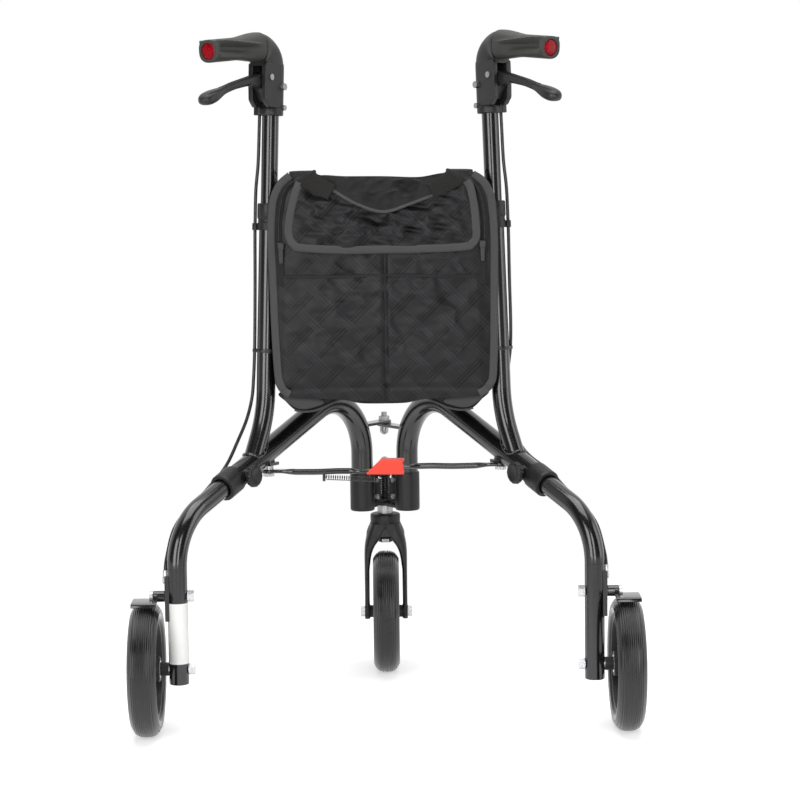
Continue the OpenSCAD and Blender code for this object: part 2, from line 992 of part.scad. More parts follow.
handle_foot = 90;
tube_depth = 62;
housing_off = 8;
housing_round = 14;
elbow_round = 22;
lever_t = 14;
lever_w = 12;
lever_pin_d = 5;
lever_pin_x = 19;
lever_pin_h = 44;
slot_low = 13;
slot_high = 12;
slot_w = lever_t + 2 * room + over;
core_d = 18;
core_end = 12;
grip_round = 13;
grip_lap = grip_h * sin(upright_lean + grip_droop);
reflector_t = 3;
paddle_len = 28;
paddle_w = 20;
button_d = 9;
button_h = 4;
button_x = -6;
button_up = 33;
clamp_screw_x = -8;
clamp_screw_up = 6;
rivet_head_t = 1.6;
rivet_head_d = 8;

// Sliding tube of the handle
module handle_tube() {
  color(black_paint)
    on_upright(handle_foot)
      pipe(handle_d, handle_wall, housing_h + tube_depth - handle_foot);
}

// Stands at the root of the grip, x along the grip
module at_grip() {
  on_upright(housing_h + housing_len - grip_h / 2)
    translate([housing_off + housing_w / 2, 0, 0])
      rotate([0, upright_lean + grip_droop, 0])
        children();
}

// Stands at the lever's pivot, x along the lever
module at_lever() {
  on_upright(housing_h + lever_pin_h)
    translate([lever_pin_x, 0, 0])
      rotate([0, upright_lean + lever_droop, 0])
        children();
}

// Brake housing with its elbow, the slot for the lever and the core of the grip
module handle_housing() {
  color(grey_plastic)
    difference() {
      union() {
        on_upright(housing_h)
          rotate([90, 0, 0])
            linear_extrude(housing_t, center = true)
              translate([housing_off, housing_len / 2]) {
                round_rect(housing_w, housing_len, housing_round);
                translate([0, (elbow_round - housing_len) / 2])
                  square([housing_w, elbow_round], center = true);
                translate([housing_w / 4, housing_len / 2 - grip_h / 2])
                  square([housing_w / 2, grip_h - 2 * over], center = true);
              }
        at_grip()
          along_x()
            translate([0, 0, -housing_w / 4])
              cylinder(d = core_d, h = grip_len - core_end + housing_w / 4);
      }
      on_upright(housing_h - over)
        cylinder(d = handle_d, h = tube_depth + over);
      on_upright(housing_h + lever_pin_h) {
        translate([lever_pin_x - lever_w / 2 - over / 2, -slot_w / 2, -slot_low])
          cube([housing_w, slot_w, slot_low + slot_high]);
        translate([lever_pin_x, 0, 0])
          along_y()
            cylinder(d = lever_pin_d, h = 2 * housing_t, center = true);
      }
    }
}

// Soft grip over the core, with a seat for the reflector
module grip() {
  color(grey_plastic)
    difference() {
      at_grip()
        along_x()
          translate([0, 0, -grip_lap])
            linear_extrude(grip_len + grip_lap)
              round_rect(grip_h, grip_w, grip_round);
      at_grip()
        along_x() {
          translate([0, 0, -grip_lap - over])
            cylinder(d = core_d, h = grip_len - core_end + grip_lap + over);
          translate([0, 0, grip_len - reflector_t])
            cylinder(d = reflector_d, h = reflector_t + over);
        }
      on_upright(housing_h)
        translate([housing_off - housing_w / 2, -grip_w, 0])
          cube([housing_w, 2 * grip_w, housing_len + grip_h]);
    }
}

// Round reflector in the grip's end
module reflector() {
  color(reflector_red)
    at_grip()
      along_x()
        translate([0, 0, grip_len - reflector_t])
          cylinder(d = reflector_d, h = reflector_t);
}

// Lever pin with its heads, clamp screw and height button of the handle
module handle_bolts() {
  color(zinc)
    on_upright(housing_h) {
      translate([lever_pin_x, 0, lever_pin_h])
        along_y() {
          cylinder(d = lever_pin_d, h = housing_t, center = true);
          for (s = [0, 1])
            mirror([0, 0, s])
              translate([0, 0, housing_t / 2])
                cylinder(d = rivet_head_d, h = rivet_head_t);
        }
      translate([clamp_screw_x, 0, clamp_screw_up])
        along_y()
          translate([0, 0, housing_t / 2])
            cylinder(d = screw_head_d, h = screw_head_t);
      translate([button_x, 0, button_up])
        along_y()
          translate([0, 0, housing_t / 2])
            cylinder(d = button_d, h = button_h);
    }
}

// Brake lever with a wide paddle at its end
module brake_lever() {
  color(grey_plastic)
    at_lever()
      difference() {
        union() {
          rotate([90, 0, 0])
            linear_extrude(lever_t, center = true)
              link_bar([0, 0], [lever_len - lever_w / 2, 0], lever_w);
          translate([lever_len - paddle_len / 2, 0, 0])
            linear_extrude(lever_w, center = true)
              round_rect(paddle_len, paddle_w, paddle_w / 3);
        }
        along_y()
          cylinder(d = lever_pin_d + 2 * run, h = 2 * lever_t, center = true);
      }
}

// Route of the brake cable in the plane of the frame: outward, inward, up
cable_route = [
  [262.5, -12, 780], [264, -12, 760], [267, -12.5, 715], [270.5, -14.4, 680], [273, -14.6, 640],
  [274, -14.6, 620], [277, -13.5, 560], [280, -12.8, 505], [282, -12.6, 471], [284.5, -12.8, 440],
  [289, -13, 410], [301, -13.5, 382], [318, -16, 355], [333, -19.5, 331], [350, -21.5, 315],
  [368, -21.5, 305], [386, -19, 297], [412, -17, 286], [434, -17, 274], [454, -16.7, 256],
  [467, -16.5, 227], [473, -14.4, 214], [474.8, -13.6, 204.6]
];
cable_steps = 3;
cable_sides = 8;

// Brake cable along the upright, round the collar and down the leg
module brake_cable() {
  line = smooth(cable_route, cable_steps);
  color(black_rubber)
    tube_along(line, cable_d, cable_sides, [for (p = line) [0, 1, 0]]);
}

// Screws of the hinge block, bolt of the crossbar and bolt of the brake
link_step = eye_t + 2 * room;
link_top = [link_z - room - link_step, link_z - room];
link_head_t = 4;

module frame_bolts(side) {
  foot = link_top[side] - eye_t - room;
  color(zinc) {
    for (share = screw_z_shares)
      translate([screw_reach, 0, block_z + share * block_h])
        along_y() {
          cylinder(d = screw_d, h = rib_t / 2);
          translate([0, 0, rib_t / 2])
            cylinder(d = screw_head_d, h = screw_head_t);
        }
    translate([link_reach, 0, foot])
      cylinder(d = link_bolt_d, h = link_z + tab_bite - foot);
    translate([link_reach, 0, foot - link_head_t])
      hexagon(axle_nut_across, link_head_t);
    if (side == 0)
      translate([link_reach, 0, link_top[0] + room])
        cylinder(d = axle_nut_across, h = link_step);
    at_leg(brake_z)
      along_x() {
        translate([0, 0, -leg_d / 2 - rear_nut_t])
          cylinder(d = brake_bolt_d, h = leg_d / 2 + rear_nut_t + boss_in + arm_boss_w + room);
        translate([0, 0, -leg_d / 2 - rear_nut_t])
          hexagon(axle_nut_across, rear_nut_t);
        translate([0, 0, boss_in + arm_boss_w + room])
          cylinder(d = axle_nut_across, h = link_head_t);
      }
  }
}

// Folding crossbar

link_len = link_reach * sin(open_angle) / cos(link_bow);
link_eye_d = 18;
link_flat_w = 14;
near_flat = 28;
far_flat = 40;
rivet_d = 12;
rivet_t = 1.6;
latch_pin_d = 4;
latch_pin_back = 16;
latch_wall = 3.4;
latch_wall_y = 22.5;
latch_roof_t = 3;
latch_roof_y = 6;
latch_drop = 11;
latch_left_share = 0.45;
latch_top_shares = [0.34, 0.87, 0.95];
latch_side_share = 0.84;
lug_len = 4;
lug_w = 9;
latch_spring_back = 80;
latch_spring_down = 16.5;
latch_spring_wire = 1;
latch_spring_r = 3;
latch_spring_curls = 14;
post_d = 4;

// Carries a piece drawn along the left link, from its bolt to the middle, to its place
module on_left_link() {
  translate([-leg_x * link_reach / leg_reach, axis_y - leg_back * link_reach / leg_reach, 0])
    rotate(-link_bow)
      children();
}

// Rod with flattened ends, drawn along x from the bolt to the middle of the crossbar
module link_rod(top) {
  mid = top - eye_t / 2;
  difference() {
    union() {
      translate([0, 0, top - eye_t])
        linear_extrude(eye_t) {
          circle(d = link_eye_d);
          translate([0, -link_flat_w / 2])
            square([near_flat, link_flat_w]);
          translate([link_len - far_flat, -link_flat_w / 2])
            square([far_flat, link_flat_w]);
          translate([link_len, 0])
            circle(d = link_eye_d);
        }
      translate([near_flat - rod_d, 0, mid])
        along_x()
          cylinder(d = rod_d, h = link_len - near_flat - far_flat + 2 * rod_d);
    }
    translate([0, 0, top - eye_t - over])
      cylinder(d = link_bolt_d + 2 * run, h = eye_t + 2 * over);
  }
}

// Left link with its rivet half, the latch's pin and the spring's post
module link_left() {
  mid = link_top[0] - eye_t / 2;
  color(black_paint)
    on_left_link() {
      link_rod(link_top[0]);
      translate([link_len, 0, link_top[0] - eye_t - rivet_t])
        cylinder(d = rivet_d, h = rivet_t);
      translate([link_len - latch_pin_back, -latch_wall_y - latch_wall, mid])
        along_y()
          cylinder(d = latch_pin_d, h = latch_wall_y + latch_wall);
      translate([link_len - latch_spring_back, 0, link_z - latch_spring_down - latch_spring_r - post_d / 2])
        cylinder(d = post_d, h = link_top[0] - eye_t / 2 - link_z + latch_spring_down + latch_spring_r);
    }
}

// Right link with its rivet half
module link_right() {
  color(black_paint)
    mirror([1, 0, 0])
      on_left_link() {
        link_rod(link_top[1]);
        translate([link_len, 0, link_top[1]])
          cylinder(d = rivet_d, h = rivet_t);
      }
}

// Outline of the latch seen from behind, from the crossbar's middle
module latch_outline() {
  left = -latch_left_share * latch_len;
  polygon([
    [left, 0],
    [left + latch_top_shares[0] * latch_len, latch_h],
    [left + latch_top_shares[1] * latch_len, latch_h],
    [left + latch_top_shares[2] * latch_len, latch_side_share * latch_h],
    [left + latch_len, 0]
  ]);
}

// Red latch: a back wall, a roof over the joint and a lug for the spring
module latch() {
  mid = link_top[0] - eye_t / 2;
  color(signal_red)
    on_left_link()
      difference() {
        translate([link_len, -latch_wall_y, link_z - latch_drop]) {
          rotate([90, 0, 0])
            linear_extrude(latch_wall)
              latch_outline();
          intersection() {
            rotate([90, 0, 0])
              translate([0, 0, -latch_wall_y - latch_roof_y])
                linear_extrude(latch_wall_y + latch_roof_y)
                  latch_outline();
            translate([-latch_len, 0, latch_h - latch_roof_t])
              cube([2 * latch_len, latch_wall_y + latch_roof_y, latch_roof_t]);
          }
          translate([-latch_left_share * latch_len, -latch_wall, -lug_w])
            cube([lug_len, latch_wall, lug_w + latch_roof_t]);
        }
        translate([link_len - latch_pin_back, 0, mid])
          along_y()
            cylinder(d = latch_pin_d + 2 * run, h = 2 * latch_len, center = true);
      }
}

// The spring runs from the post under the left link to the latch's lug
spring_from = [link_len - latch_spring_back, 0];
spring_to = [link_len - latch_left_share * latch_len, -latch_wall_y - latch_wall / 2];
spring_run = spring_to - spring_from;
latch_spring_len = norm(spring_run) - post_d / 2 - 2 * seat;
latch_spring_line = coil(latch_spring_r, latch_spring_wire, latch_spring_curls, latch_spring_len);
echo(latch_spring_gap = coil_gap(latch_spring_line, latch_spring_wire));

// Extension spring of the latch
module latch_spring() {
  color(zinc)
    on_left_link()
      translate([spring_from[0], spring_from[1], link_z - latch_spring_down])
        rotate(atan2(spring_run[1], spring_run[0]))
          along_x()
            translate([0, 0, post_d / 2 + seat])
              tube_along(latch_spring_line, latch_spring_wire, 6, [for (p = latch_spring_line) [0, 0, 1]]);
}

// Bag

bag_inset = 24;
bag_panel_t = 14;
bag_panel_lift = 14;
bag_round = 22;
bag_top_drop = 12;
bag_corner_rise = bag_z + bag_panel_lift + bag_round - upright_bend_z;
bag_reach = upright_reach - bag_corner_rise * tan(upright_lean);
bag_back_y = axis_y - bag_reach * cos(open_angle) - upright_d / 2 - seat;

// Soft bag: a back panel behind the uprights and a body between them
module bag() {
  color(bag_black) {
    translate([0, bag_back_y, bag_z + bag_panel_lift + (bag_h - bag_panel_lift) / 2])
      rotate([90, 0, 0])
        linear_extrude(bag_panel_t)
          round_rect(bag_w, bag_h - bag_panel_lift, bag_round);
    translate([0, bag_back_y, bag_z + (bag_h - bag_top_drop) / 2])
      rotate([-90, 0, 0])
        linear_extrude(bag_deep)
          round_rect(bag_w - 2 * bag_inset, bag_h - bag_top_drop, bag_round);
  }
}

pivot_shaft();
shaft_nuts();
column_spring();
upper_bolt();
fork();
front_axle();
at_front_wheel() tyre();  // front_tyre
at_front_wheel() rim();  // front_rim
at_front_wheel() bearings();  // front_bearings
on_left() main_tube();  // main_tube_left
on_right() main_tube();  // main_tube_right
on_left() link_tab();  // link_tab_left
on_right() link_tab();  // link_tab_right
on_left() hinge_block(0);  // hinge_block_left
on_right() hinge_block(1);  // hinge_block_right
on_left() pivot_plate(0);  // pivot_plate_left
on_right() pivot_plate(1);  // pivot_plate_right
on_left() upright_tube();  // upright_tube_left
on_right() upright_tube();  // upright_tube_right
on_left() height_bush();  // height_bush_left
on_right() height_bush();  // height_bush_right
on_left() leg_collar();  // leg_collar_left
on_right() leg_collar();  // leg_collar_right
on_left() clamp_knob();  // clamp_knob_left
on_right() clamp_knob();  // clamp_knob_right
on_left() leg_tube();  // leg_tube_left
on_right() leg_tube();  // leg_tube_right
on_left() rear_axle();  // rear_axle_left
on_right() rear_axle();  // rear_axle_right
on_left() at_rear_wheel() tyre();  // tyre_left
on_right() at_rear_wheel() tyre();  // tyre_right
on_left() at_rear_wheel() rim();  // rim_left
on_right() at_rear_wheel() rim();  // rim_right
on_left() at_rear_wheel() bearings();  // bearings_left
on_right() at_rear_wheel() bearings();  // bearings_right
on_left() brake_bracket();  // brake_bracket_left
on_right() brake_bracket();  // brake_bracket_right
on_left() brake_arm();  // brake_arm_left
on_right() brake_arm();  // brake_arm_right
on_left() frame_bolts(0);  // frame_bolts_left
on_right() frame_bolts(1);  // frame_bolts_right
on_left() handle_tube();  // handle_tube_left
on_right() handle_tube();  // handle_tube_right
on_left() handle_housing();  // handle_housing_left
on_right() handle_housing();  // handle_housing_right
on_left() grip();  // grip_left
on_right() grip();  // grip_right
on_left() reflector();  // reflector_left
on_right() reflector();  // reflector_right
on_left() handle_bolts();  // handle_bolts_left
on_right() handle_bolts();  // handle_bolts_right
on_left() brake_lever();  // brake_lever_left
on_right() brake_lever();  // brake_lever_right
on_left() brake_cable();  // brake_cable_left
on_right() brake_cable();  // brake_cable_right
link_left();
link_right();
latch();
latch_spring();
bag();
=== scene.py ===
"""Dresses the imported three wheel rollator: tubes, caster, wheels, handles, brakes, crossbar and bag."""

import logging
import math
from dataclasses import dataclass
from enum import Enum
from typing import Any, Optional, Sequence

import bpy
import numpy as np
from mathutils import Matrix


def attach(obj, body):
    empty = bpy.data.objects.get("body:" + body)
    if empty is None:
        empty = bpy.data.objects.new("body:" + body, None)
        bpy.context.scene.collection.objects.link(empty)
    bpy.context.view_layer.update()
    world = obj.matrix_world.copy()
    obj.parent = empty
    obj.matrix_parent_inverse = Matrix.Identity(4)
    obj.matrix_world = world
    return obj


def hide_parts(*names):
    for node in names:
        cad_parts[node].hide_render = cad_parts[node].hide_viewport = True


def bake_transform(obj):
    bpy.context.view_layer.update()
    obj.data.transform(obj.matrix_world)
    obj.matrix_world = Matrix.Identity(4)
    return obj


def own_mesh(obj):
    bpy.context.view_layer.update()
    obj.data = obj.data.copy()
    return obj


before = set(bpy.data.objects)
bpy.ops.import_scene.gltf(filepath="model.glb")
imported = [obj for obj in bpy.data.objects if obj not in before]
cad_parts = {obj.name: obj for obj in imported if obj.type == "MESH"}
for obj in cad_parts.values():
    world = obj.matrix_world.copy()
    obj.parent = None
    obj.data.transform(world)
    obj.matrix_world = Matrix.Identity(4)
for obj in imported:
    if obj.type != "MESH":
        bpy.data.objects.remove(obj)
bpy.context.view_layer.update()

LOG = logging.getLogger("rollator")
MM = 0.001
WHITE = (1.0, 1.0, 1.0, 1.0)
RIM_RINGS = 5
Array = np.ndarray
Points = Sequence[Sequence[float]]
Tree = bpy.types.NodeTree
Node = bpy.types.Node
Socket = bpy.types.NodeSocket


class Side(Enum):
    """The two side frames, as the sign of their X."""

    LEFT = -1
    RIGHT = 1

    @property
    def tag(self) -> str:
        """Ending of the side's node and body names."""
        return self.name.lower()


@dataclass(frozen=True)
class Axes:
    """A place to draw in: an origin and three directions, in millimetres."""

    origin: Array
    ex: Array
    ey: Array
    ez: Array

    def place(self, points: Array | Sequence[float]) -> Array:
        """Carries points drawn in these axes to the frame that the axes stand in."""
        return self.origin + self.turn(points)

    def turn(self, vectors: Array | Sequence[float]) -> Array:
        """Turns directions drawn in these axes."""
        return np.asarray(vectors, float) @ np.stack([self.ex, self.ey, self.ez])

    def swapped(self) -> "Axes":
        """These axes with y and z exchanged, so that an outline of x and z can be raised sideways."""
        return Axes(self.origin, self.ex, self.ez, self.ey)

    def inner(self, origin: Array | Sequence[float], ex: Array | Sequence[float] = (1, 0, 0),
              ez: Array | Sequence[float] = (0, 0, 1)) -> "Axes":
        """Axes from a point of these ones, with x and z in directions of these ones, and right-handed."""
        return Axes(self.place(origin), self.turn(ex), self.turn(np.cross(ez, ex)), self.turn(ez))


WORLD = Axes(np.zeros(3), *np.eye(3))


def cos_sin(degrees: float) -> tuple[float, float]:
    """Cosine and sine of an angle in degrees."""
    return math.cos(math.radians(degrees)), math.sin(math.radians(degrees))


@dataclass(frozen=True)
class Layout:
    """Sizes of the frame that place every piece, as in the solids, in millimetres and degrees."""

    open_angle: float = 34.0
    axis_y: float = 213.995
    post_reach: float = 56.0
    leg_reach: float = 468.0
    knee_z: float = 266.0
    slope: float = 20.7
    main_d: float = 30.0
    arch_r: float = 77.0
    leg_d: float = 25.0
    leg_r: float = 76.0
    leg_foot_z: float = 66.0
    upright_reach: float = 275.6
    bend_z: float = 420.0
    upright_r: float = 150.0
    lean: float = 3.3
    upright_d: float = 25.0
    upright_len: float = 240.0
    handle_d: float = 22.0
    wheel_r: float = 85.0
    wheel_out: float = 40.5
    trail: float = 40.0
    link_reach: float = 273.0

    @property
    def arch_turn(self) -> float:
        """Angle that the arch bends through, in radians."""
        return math.radians(90 + self.slope)

    @property
    def arch_drop(self) -> float:
        """Length of tube that the arch's bend takes up on either side."""
        return self.arch_r * math.tan(self.arch_turn / 2)

    @property
    def arch_z(self) -> float:
        """Height at which the arch starts to bend."""
        rise = (self.leg_reach - self.post_reach) * math.tan(math.radians(self.slope))
        return self.knee_z + rise - self.arch_drop

    @property
    def leg_turn(self) -> float:
        """Angle that the leg bends through, in radians."""
        return math.radians(90 - self.slope)

    @property
    def leg_tangent(self) -> float:
        """Length of tube that the leg's bend takes up on either side."""
        return self.leg_r * math.tan(self.leg_turn / 2)

    def side(self, side: Side) -> Axes:
        """Plane of a side frame: x away from the fold axis, y towards the inside, z up."""
        k, (c, s) = side.value, cos_sin(self.open_angle)
        return Axes(np.array([0, self.axis_y, 0.0]), np.array([k * s, -c, 0]), np.array([-k * c, -s, 0]), WORLD.ez)

    def slope_axes(self, side: Side, along: float) -> Axes:
        """Axes on the sloping tube, z up the tube from the knee and x on top of it.

        Args:
            side: which side frame.
            along: distance from the knee.

        Returns:
            The axes.
        """
        plane, (c, s) = self.side(side), cos_sin(self.slope)
        start = plane.place((self.leg_reach - along * c, 0, self.knee_z + along * s))
        return Axes(start, plane.turn((s, 0, c)), plane.ey, plane.turn((-c, 0, s)))

    def upright_axes(self, side: Side, along: float) -> Axes:
        """Axes on the upright, z up the tube from its bend and x away from the fold axis.

        Args:
            side: which side frame.
            along: distance from the bend.

        Returns:
            The axes.
        """
        plane, (c, s) = self.side(side), cos_sin(self.lean)
        start = plane.place((self.upright_reach - along * s, 0, self.bend_z + along * c))
        return Axes(start, plane.turn((c, 0, s)), plane.ey, plane.turn((-s, 0, c)))

    def leg_axes(self, side: Side, height: float) -> Axes:
        """Axes under the leg, x away from the middle of the rollator and y to the rear."""
        start = self.side(side).place((self.leg_reach, 0, height))
        return Axes(start, np.array([side.value, 0, 0.0]), np.array([0, -1.0, 0]), WORLD.ez)


PLAN = Layout()


def arc(count: int, start: float, end: float) -> Array:
    """Evenly spaced angles, in radians, from angles in degrees."""
    return np.radians(np.linspace(start, end, count))


def ray(angles: Array) -> Array:
    """Unit directions at angles, as two numbers each."""
    return np.stack([np.cos(angles), np.sin(angles)], axis=-1)


def circle(count: int) -> Array:
    """Unit circle as count points, not repeating the first."""
    return ray(np.linspace(0, 2 * np.pi, count, endpoint=False))


def unit(vectors: Array) -> Array:
    """Vectors brought to a length of 1."""
    return vectors / np.linalg.norm(vectors, axis=-1, keepdims=True)


def raised(section: Array, levels: Sequence[float]) -> Array:
    """Copies of a section of two numbers each, one at every level."""
    return np.stack([np.column_stack([section, np.full(len(section), z)]) for z in levels])


def mirrored(k: float, points: Points) -> list[tuple[float, ...]]:
    """Points drawn for the right side, on the side whose sign is k."""
    return [(k * p[0], *p[1:]) for p in points]


def oval(half_a: Array, half_b: Array, power: Array, count: int) -> Array:
    """Superellipses: |a|^n + |b|^n = 1, scaled to their half sizes.

    Args:
        half_a: half size along the first direction, one for each ring.
        half_b: half size along the second direction.
        power: exponent n, where 2 is an ellipse and more is squarer.
        count: points of each ring.

    Returns:
        Rings by points by two.
    """
    unit = circle(count)[None]
    exponent = 2 / np.broadcast_to(power, np.shape(half_a))[:, None, None]
    shape = np.sign(unit) * np.abs(unit) ** exponent
    return shape * np.stack([np.asarray(half_a, float), np.asarray(half_b, float)], axis=-1)[:, None]


def fillet(corners: Points, radii: Sequence[float] | float, steps: int = 6) -> Array:
    """Polygon whose corners are rounded by arcs tangent to both edges.

    Args:
        corners: the polygon's corners, anticlockwise.
        radii: one radius, or one for each corner.
        steps: points on each arc.

    Returns:
        Points of the outline, two numbers each.
    """
    p = np.array(corners, float)
    r = np.broadcast_to(np.array(radii, float), len(p))[:, None]
    back, ahead = unit(np.roll(p, 1, axis=0) - p), unit(np.roll(p, -1, axis=0) - p)
    half = np.arccos(np.clip((back * ahead).sum(1, keepdims=True), -1, 1)) / 2
    reach = r / np.tan(half)
    t = np.linspace(0, 1, steps)[None, :, None]
    a, b, c = (p + back * reach)[:, None], p[:, None], (p + ahead * reach)[:, None]
    weight = np.sin(half)[:, None]
    bez = [(1 - t) ** 2, 2 * t * (1 - t) * weight, t ** 2]
    return ((bez[0] * a + bez[1] * b + bez[2] * c) / (bez[0] + bez[1] + bez[2])).reshape(-1, 2)


def inset(outline: Array, depth: float) -> Array:
    """Moves an anticlockwise outline inwards along the mean normal of the edges at each point.

    Args:
        outline: points of two numbers.
        depth: how far they move.

    Returns:
        The moved points.
    """
    edge = np.roll(outline, -1, axis=0) - outline
    length = np.linalg.norm(edge, axis=1, keepdims=True)
    normal = np.stack([-edge[:, 1], edge[:, 0]], axis=1) / np.maximum(length, 1e-9)
    mean = normal + np.roll(normal, 1, axis=0)
    size = np.maximum((mean ** 2).sum(1, keepdims=True), 0.5)
    return outline + 2 * depth * mean / size


def spline(points: Points, steps: int) -> Array:
    """Smooth line through points: each stretch is a cubic whose slopes come from its neighbours.

    Args:
        points: the points that the line passes through.
        steps: points made for each stretch.

    Returns:
        Points of the line, the last one included.
    """
    p = np.array(points, float)
    q = np.concatenate([p[:1], p, p[-1:]])
    t = np.linspace(0, 1, steps, endpoint=False)[None, :, None]
    p0, p1, p2, p3 = (q[k:len(q) - 3 + k][:, None] for k in range(4))
    line = (2 * p1 + t * (p2 - p0) + t * t * (2 * p0 - 5 * p1 + 4 * p2 - p3)
            + t ** 3 * (3 * p1 - p0 - 3 * p2 + p3)) / 2
    return np.concatenate([line.reshape(-1, p.shape[1]), p[-1:]])


def length_along(line: Array, loop: bool = False) -> Array:
    """Distance along a line at each of its points, and back at the first one where it is a loop."""
    line = np.concatenate([line, line[:1]]) if loop else line
    return np.concatenate([[0.0], np.cumsum(np.linalg.norm(np.diff(line, axis=0), axis=1))])


def ease(x: Array, low: float, high: float) -> Array:
    """Smooth step from 0 at low to 1 at high."""
    t = np.clip((np.asarray(x, float) - low) / (high - low), 0, 1)
    return t * t * (3 - 2 * t)


def waver(seed: int, *coords: Array, size: float, octaves: int = 3) -> Array:
    """Smooth random unevenness: sums of sines with seeded directions and phases.

    Args:
        seed: which unevenness.
        coords: coordinates in millimetres.
        size: length of the longest waves, in millimetres.
        octaves: how often the waves halve in length.

    Returns:
        Values of about -1 to 1.
    """
    waves, gain = 4, 1.2
    rng = np.random.default_rng(seed)
    total = np.zeros(np.broadcast(*coords).shape)
    for octave in range(octaves):
        wave, share = size / 2 ** octave, 0.5 ** octave
        for _ in range(waves):
            way = rng.normal(size=len(coords))
            way = way / np.linalg.norm(way) * 2 * np.pi / wave
            phase = rng.uniform(0, 2 * np.pi)
            total = total + share * np.sin(sum(w * c for w, c in zip(way, coords)) + phase) / waves
    return total * gain


class Stock:
    """Collects closed skins, in millimetres of the row frame, into one mesh."""

    def __init__(self) -> None:
        """Starts with no skins."""
        self.points: list[Array] = []
        self.faces: list[list[int]] = []
        self.corners: list[Array] = []
        self.rims: list[Array] = []
        self.count = 0

    def _take(self, points: Array, quads: Array, uvs: Array, caps: list[Array]) -> None:
        """Adds one skin, turned so that its faces point outwards.

        Args:
            points: the skin's points.
            quads: its four-sided faces.
            uvs: two numbers for each corner of each quad.
            caps: its end faces, each a list of points.
        """
        a, b, c, d = (points[quads[:, k]] for k in range(4))
        volume = (np.cross(a, b) * c).sum() + (np.cross(a, c) * d).sum()
        for cap in caps:
            p = points[cap]
            volume += (np.cross(p[1:-1], p[2:]) * p[0]).sum()
        if volume < 0:
            quads, uvs, caps = quads[:, ::-1], uvs[:, ::-1], [cap[::-1] for cap in caps]
        self.points.append(points)
        self.faces += (quads + self.count).tolist() + [(cap + self.count).tolist() for cap in caps]
        self.corners += [uvs.reshape(-1, 2)] + [np.zeros((len(cap), 2)) for cap in caps]
        self.rims += [np.stack([cap, np.roll(cap, -1)], -1) + self.count for cap in caps]
        self.count += len(points)

    def skin(self, grid: Array, loop: bool = False, rows: Optional[Array] = None, cols: Optional[Array] = None,
             flat: Optional[Array] = None) -> "Stock":
        """Adds a grid of points as a skin of four-sided faces, whose last column joins the first.

        Args:
            grid: rows by columns by three.
            loop: whether the last row joins the first; if not, faces close both.
            rows: pattern coordinate of each row in millimetres, with one more where the rows loop.
            cols: pattern coordinate of each column, and one more.
            flat: pattern coordinates of each point, in place of those of the rows and columns.

        Returns:
            This stock.
        """
        n, m = grid.shape[:2]
        i, j = np.meshgrid(np.arange(n + loop - 1), np.arange(m), indexing="ij")
        i2, j2 = (i + 1) % n, (j + 1) % m
        quads = np.stack([i * m + j, i * m + j2, i2 * m + j2, i2 * m + j], axis=-1).reshape(-1, 4)
        u = np.arange(n + loop) * 1.0 if rows is None else rows
        v = np.arange(m + 1) * 1.0 if cols is None else cols
        uvs = np.stack([np.stack([u[i], v[j]], -1), np.stack([u[i], v[j + 1]], -1),
                        np.stack([u[i + 1], v[j + 1]], -1), np.stack([u[i + 1], v[j]], -1)], axis=-2)
        if flat is not None:
            uvs = np.broadcast_to(flat, (n, m, 2)).reshape(-1, 2)[quads]
        ends = [] if loop else [np.arange(m)[::-1], np.arange(m) + (n - 1) * m]
        self._take(grid.reshape(-1, 3), quads, uvs.reshape(-1, 4, 2), ends)
        return self

    def revolve(self, axes: Axes, profile: Points, count: int = 64, loop: bool = False,
                ripple: Optional[Array] = None) -> "Stock":
        """Turns a profile of (radius, height) around the axes' z.

        Args:
            axes: where it stands.
            profile: points of the profile.
            count: points around.
            loop: whether the profile is closed, as for a ring.
            ripple: factor on the radius, by profile point and angle.

        Returns:
            This stock.
        """
        p = np.array(profile, float)
        r = p[:, 0, None] * (np.ones((1, count)) if ripple is None else ripple)
        grid = np.concatenate([r[..., None] * circle(count), np.broadcast_to(p[:, 1, None, None], r.shape + (1,))], -1)
        cols = np.linspace(0, 2 * np.pi * p[:, 0].max(), count + 1)
        return self.skin(axes.place(grid), loop=loop, rows=length_along(p, loop), cols=cols)

    def sweep(self, line: Array, section: Array, aside: Array, loop: bool = False) -> "Stock":
        """Carries a section along a line.

        Args:
            line: points of the row frame.
            section: one section or one for each point, as points of two numbers.
            aside: a direction that the line never takes, which the section's second number runs against.
            loop: whether the line is closed.

        Returns:
            This stock.
        """
        t = np.roll(line, -1, axis=0) - np.roll(line, 1, axis=0) if loop else np.gradient(line, axis=0)
        t = unit(t)
        u = unit(np.cross(t, aside))
        v = np.cross(t, u)
        s = np.broadcast_to(section, (len(line),) + section.shape[-2:])
        grid = line[:, None] + s[..., :1] * u[:, None] + s[..., 1:] * v[:, None]
        return self.skin(grid, loop=loop, rows=length_along(line, loop), cols=length_along(s[0], True))

    def loft(self, axes: Axes, along: Array, half_a: Array, half_b: Array, power: Array,
             off_a: Array | float = 0.0, off_b: Array | float = 0.0, count: int = 40) -> "Stock":
        """Skins superellipses that stand across the axes' x.

        Args:
            axes: where it stands.
            along: place of each ring on x.
            half_a: half sizes along y.
            half_b: half sizes along z.
            power: exponents of the rings.
            off_a: shift of each ring along y.
            off_b: shift of each ring along z.
            count: points around.

        Returns:
            This stock.
        """
        along = np.asarray(along, float)
        a, b, n, shift_a, shift_b = (np.broadcast_to(v, along.shape) for v in (half_a, half_b, power, off_a, off_b))
        ring = oval(a, b, n, count)
        y, z = ring[..., 0] + shift_a[:, None], ring[..., 1] + shift_b[:, None]
        x = np.broadcast_to(along[:, None], y.shape)
        return self.skin(axes.place(np.stack([x, y, z], -1)), rows=along,
                         cols=np.linspace(0, 2 * np.pi * float(np.max(half_a)), count + 1))

